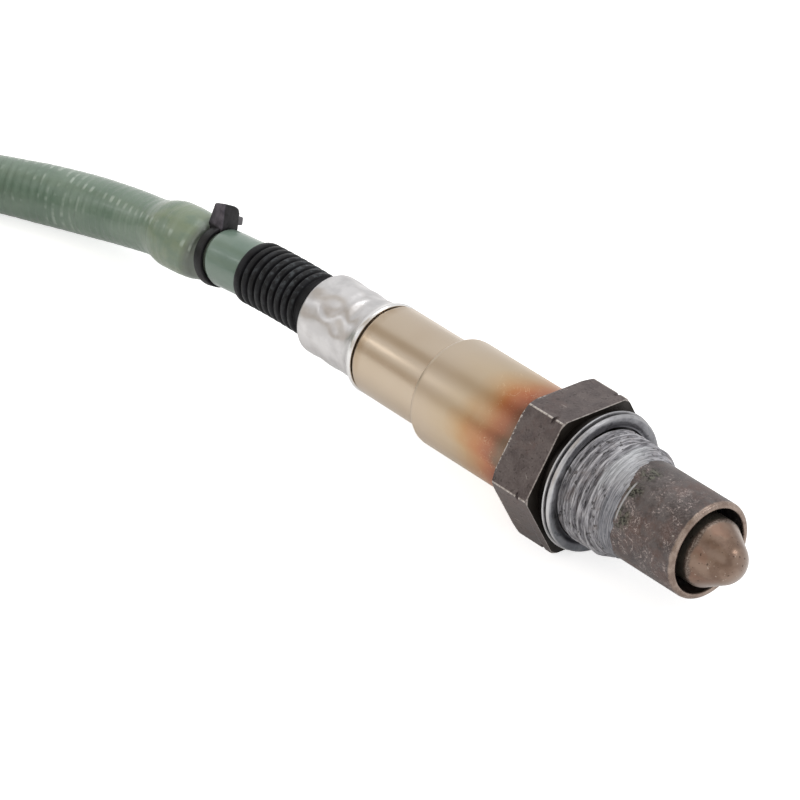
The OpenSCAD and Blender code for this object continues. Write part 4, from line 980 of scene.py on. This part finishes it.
# Shrink tube: black, shrunk over the sleeve's end and down onto the wires.
shrink_mesh = bmesh.new()
turned(shrink_mesh, [(-192, 4.62), (-192, 5.0, 0.15), (-198, 5.0, 0.9), (-200.2, 4.15, 0.6),
                     (-204, 4.1, 0.3), (-204, 3.5), (-200.5, 3.55), (-198.3, 4.6)], steps=96)
bmesh.ops.translate(shrink_mesh, verts=shrink_mesh.verts,
                    vec=(0, (HANK_Y + HANK_R) * MM, HIGH_Z * MM))
shrunk = plain("shrink_tube_black", 0.0025, (24, 24, 26), (44, 44, 47), (0.4, 0.55), along=0.4,
               Specular_IOR_Level=0.4)
shrunk.feed(Normal=relief(shrunk.mottle, 0.0001))
shrink = piece_of(shrink_mesh, "shrink_end", shrunk, "shrink_tube", "sleeve_end_shrink")

# Plug: moulded black body and rear cover, orange silicone seals, a violet lock and the trim
# resistor under the latch. Its pieces keep their solids' shape, with the edges broken.
moulding = plain("plug_black_plastic", 0.004, (34, 34, 37), (50, 50, 54), (0.4, 0.55),
                 detail=4.0)
moulding.feed(Normal=relief(cloud(moulding.where, 0.0004, 2.0), 0.00002))
silicone = plain("seal_orange_silicone", 0.002, (196, 104, 52), (214, 122, 66), (0.5, 0.65))
violet = plain("lock_violet_plastic", 0.003, (112, 78, 138), (128, 92, 152), (0.4, 0.52))
resin = plain("resistor_green_resin", 0.001, (72, 104, 84), (90, 124, 100), (0.4, 0.55))
for solid, finish, slot, soft in (
        ("plug_housing", moulding, "plug_plastic", 0.3),
        ("plug_rear_cover", moulding, "plug_plastic", 0.3),
        ("plug_wire_seal", silicone, "seal_rubber", 0.1),
        ("plug_face_seal", silicone, "seal_rubber", 0.3),
        ("terminal_lock", violet, "lock_plastic", 0.12),
        ("trim_resistor", resin, "resistor_body", 0.12),
        ("hank_tie", nylon, "tie_nylon", 0.2)):
    copied = bmesh.new()
    copied.from_mesh(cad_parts[solid].data)
    bmesh.ops.remove_doubles(copied, verts=copied.verts, dist=1e-6)
    bmesh.ops.dissolve_limit(copied, angle_limit=math.radians(1), verts=copied.verts,
                             edges=copied.edges)
    softened = piece_of(copied, solid + "_moulded", finish, slot, solid)
    softener = softened.modifiers.new("broken edges", "BEVEL")
    softener.width = soft * MM
    softener.segments = 2
    softener.limit_method = "ANGLE"
    softener.angle_limit = math.radians(40)
    softener.use_clamp_overlap = True

[tuple(p) for p in route[::4]] + [tuple(route[-1])]

# Bench and light: a white table under a white tent, whose only dark parts are two gaps in the
# cloth, overhead and low in front. They give the long soft bands on the round steel.
FLOOR_Z = -11.0
bench_mesh = bmesh.new()
bmesh.ops.create_grid(bench_mesh, x_segments=1, y_segments=1, size=3)
bmesh.ops.translate(bench_mesh, verts=bench_mesh.verts, vec=(0, 0, FLOOR_Z * MM))
bench = bpy.data.objects.new("bench", saved(bench_mesh, "bench"))
bpy.context.scene.collection.objects.link(bench)


def bare_tree(holder):
    """The empty node tree of a material or a world, and the kinds of ray that ask for it."""
    holder.use_nodes = True
    tree = holder.node_tree
    tree.nodes.clear()
    rays = tree.nodes.new("ShaderNodeLightPath").outputs
    return tree, *(Value(tree, rays[kind]) for kind in (
        "Is Camera Ray", "Is Glossy Ray", "Is Transmission Ray"))


table_top = bpy.data.materials.new("bench_white")
tree, to_camera, glossy, through = bare_tree(table_top)
seen = most(to_camera * 0.72, most(glossy, through) * 0.28)
paint = put(tree, "BsdfDiffuse", Color=(0.8, 0.8, 0.8, 1))
glow = put(tree, "Emission", Color=(1, 1, 1, 1), Strength=seen)
put(tree, "OutputMaterial", Surface=put(tree, "AddShader", _0=paint, _1=glow))
bench.data.materials.append(table_top)

world = bpy.data.worlds.new("tent")
tree, to_camera, glossy, through = bare_tree(world)
away = put(tree, "TexCoord", "Generated")
bearing = calc("ARCTAN2", part(away, "Z"), part(away, "Y")) * (180 / math.pi)


def gap(middle, half, depth):
    """A gap in the tent's cloth that runs along the sensor, as a share of light taken away."""
    return fade(calc("ABSOLUTE", bearing - middle), half + 9, half - 4) * depth


gaps = gap(111, 9, 0.32) + gap(170, 8, 0.27)
warmth = fade(gaps * (1.0 - to_camera), 0.0, 0.28)
shade = put(tree, "Mix", 2, data_type="RGBA", _0=warmth, _6=(1, 1, 1, 1), _7=(1, 0.9, 0.78, 1))
tent = put(tree, "Background", Color=shade, Strength=most(0.9 - gaps, to_camera))
put(tree, "OutputWorld", Surface=tent)
bpy.context.scene.world = world

# One wide lamp overhead, and two small ones that put the sparks of light on the varnished sleeves,
# the dents and the tip.
for title, way, size, watts in (
        ("overhead", (-0.1, 0.28, 1.0), 0.5, 1.4),
        ("left_lamp", (-0.73, -0.55, 0.41), 0.085, 0.06),
        ("rear_lamp", (0.61, 0.43, 0.67), 0.16, 0.7)):
    light = bpy.data.lights.new(title, "AREA")
    light.size = size
    light.energy = watts
    lamp = bpy.data.objects.new(title, light)
    middle = Vector((-0.03, 0, 0))
    lamp.location = middle + Vector(way).normalized() * 0.9
    lamp.rotation_euler = (middle - lamp.location).to_track_quat("-Z", "Y").to_euler()
    bpy.context.scene.collection.objects.link(lamp)
bpy.context.scene.view_settings.view_transform = "Standard"
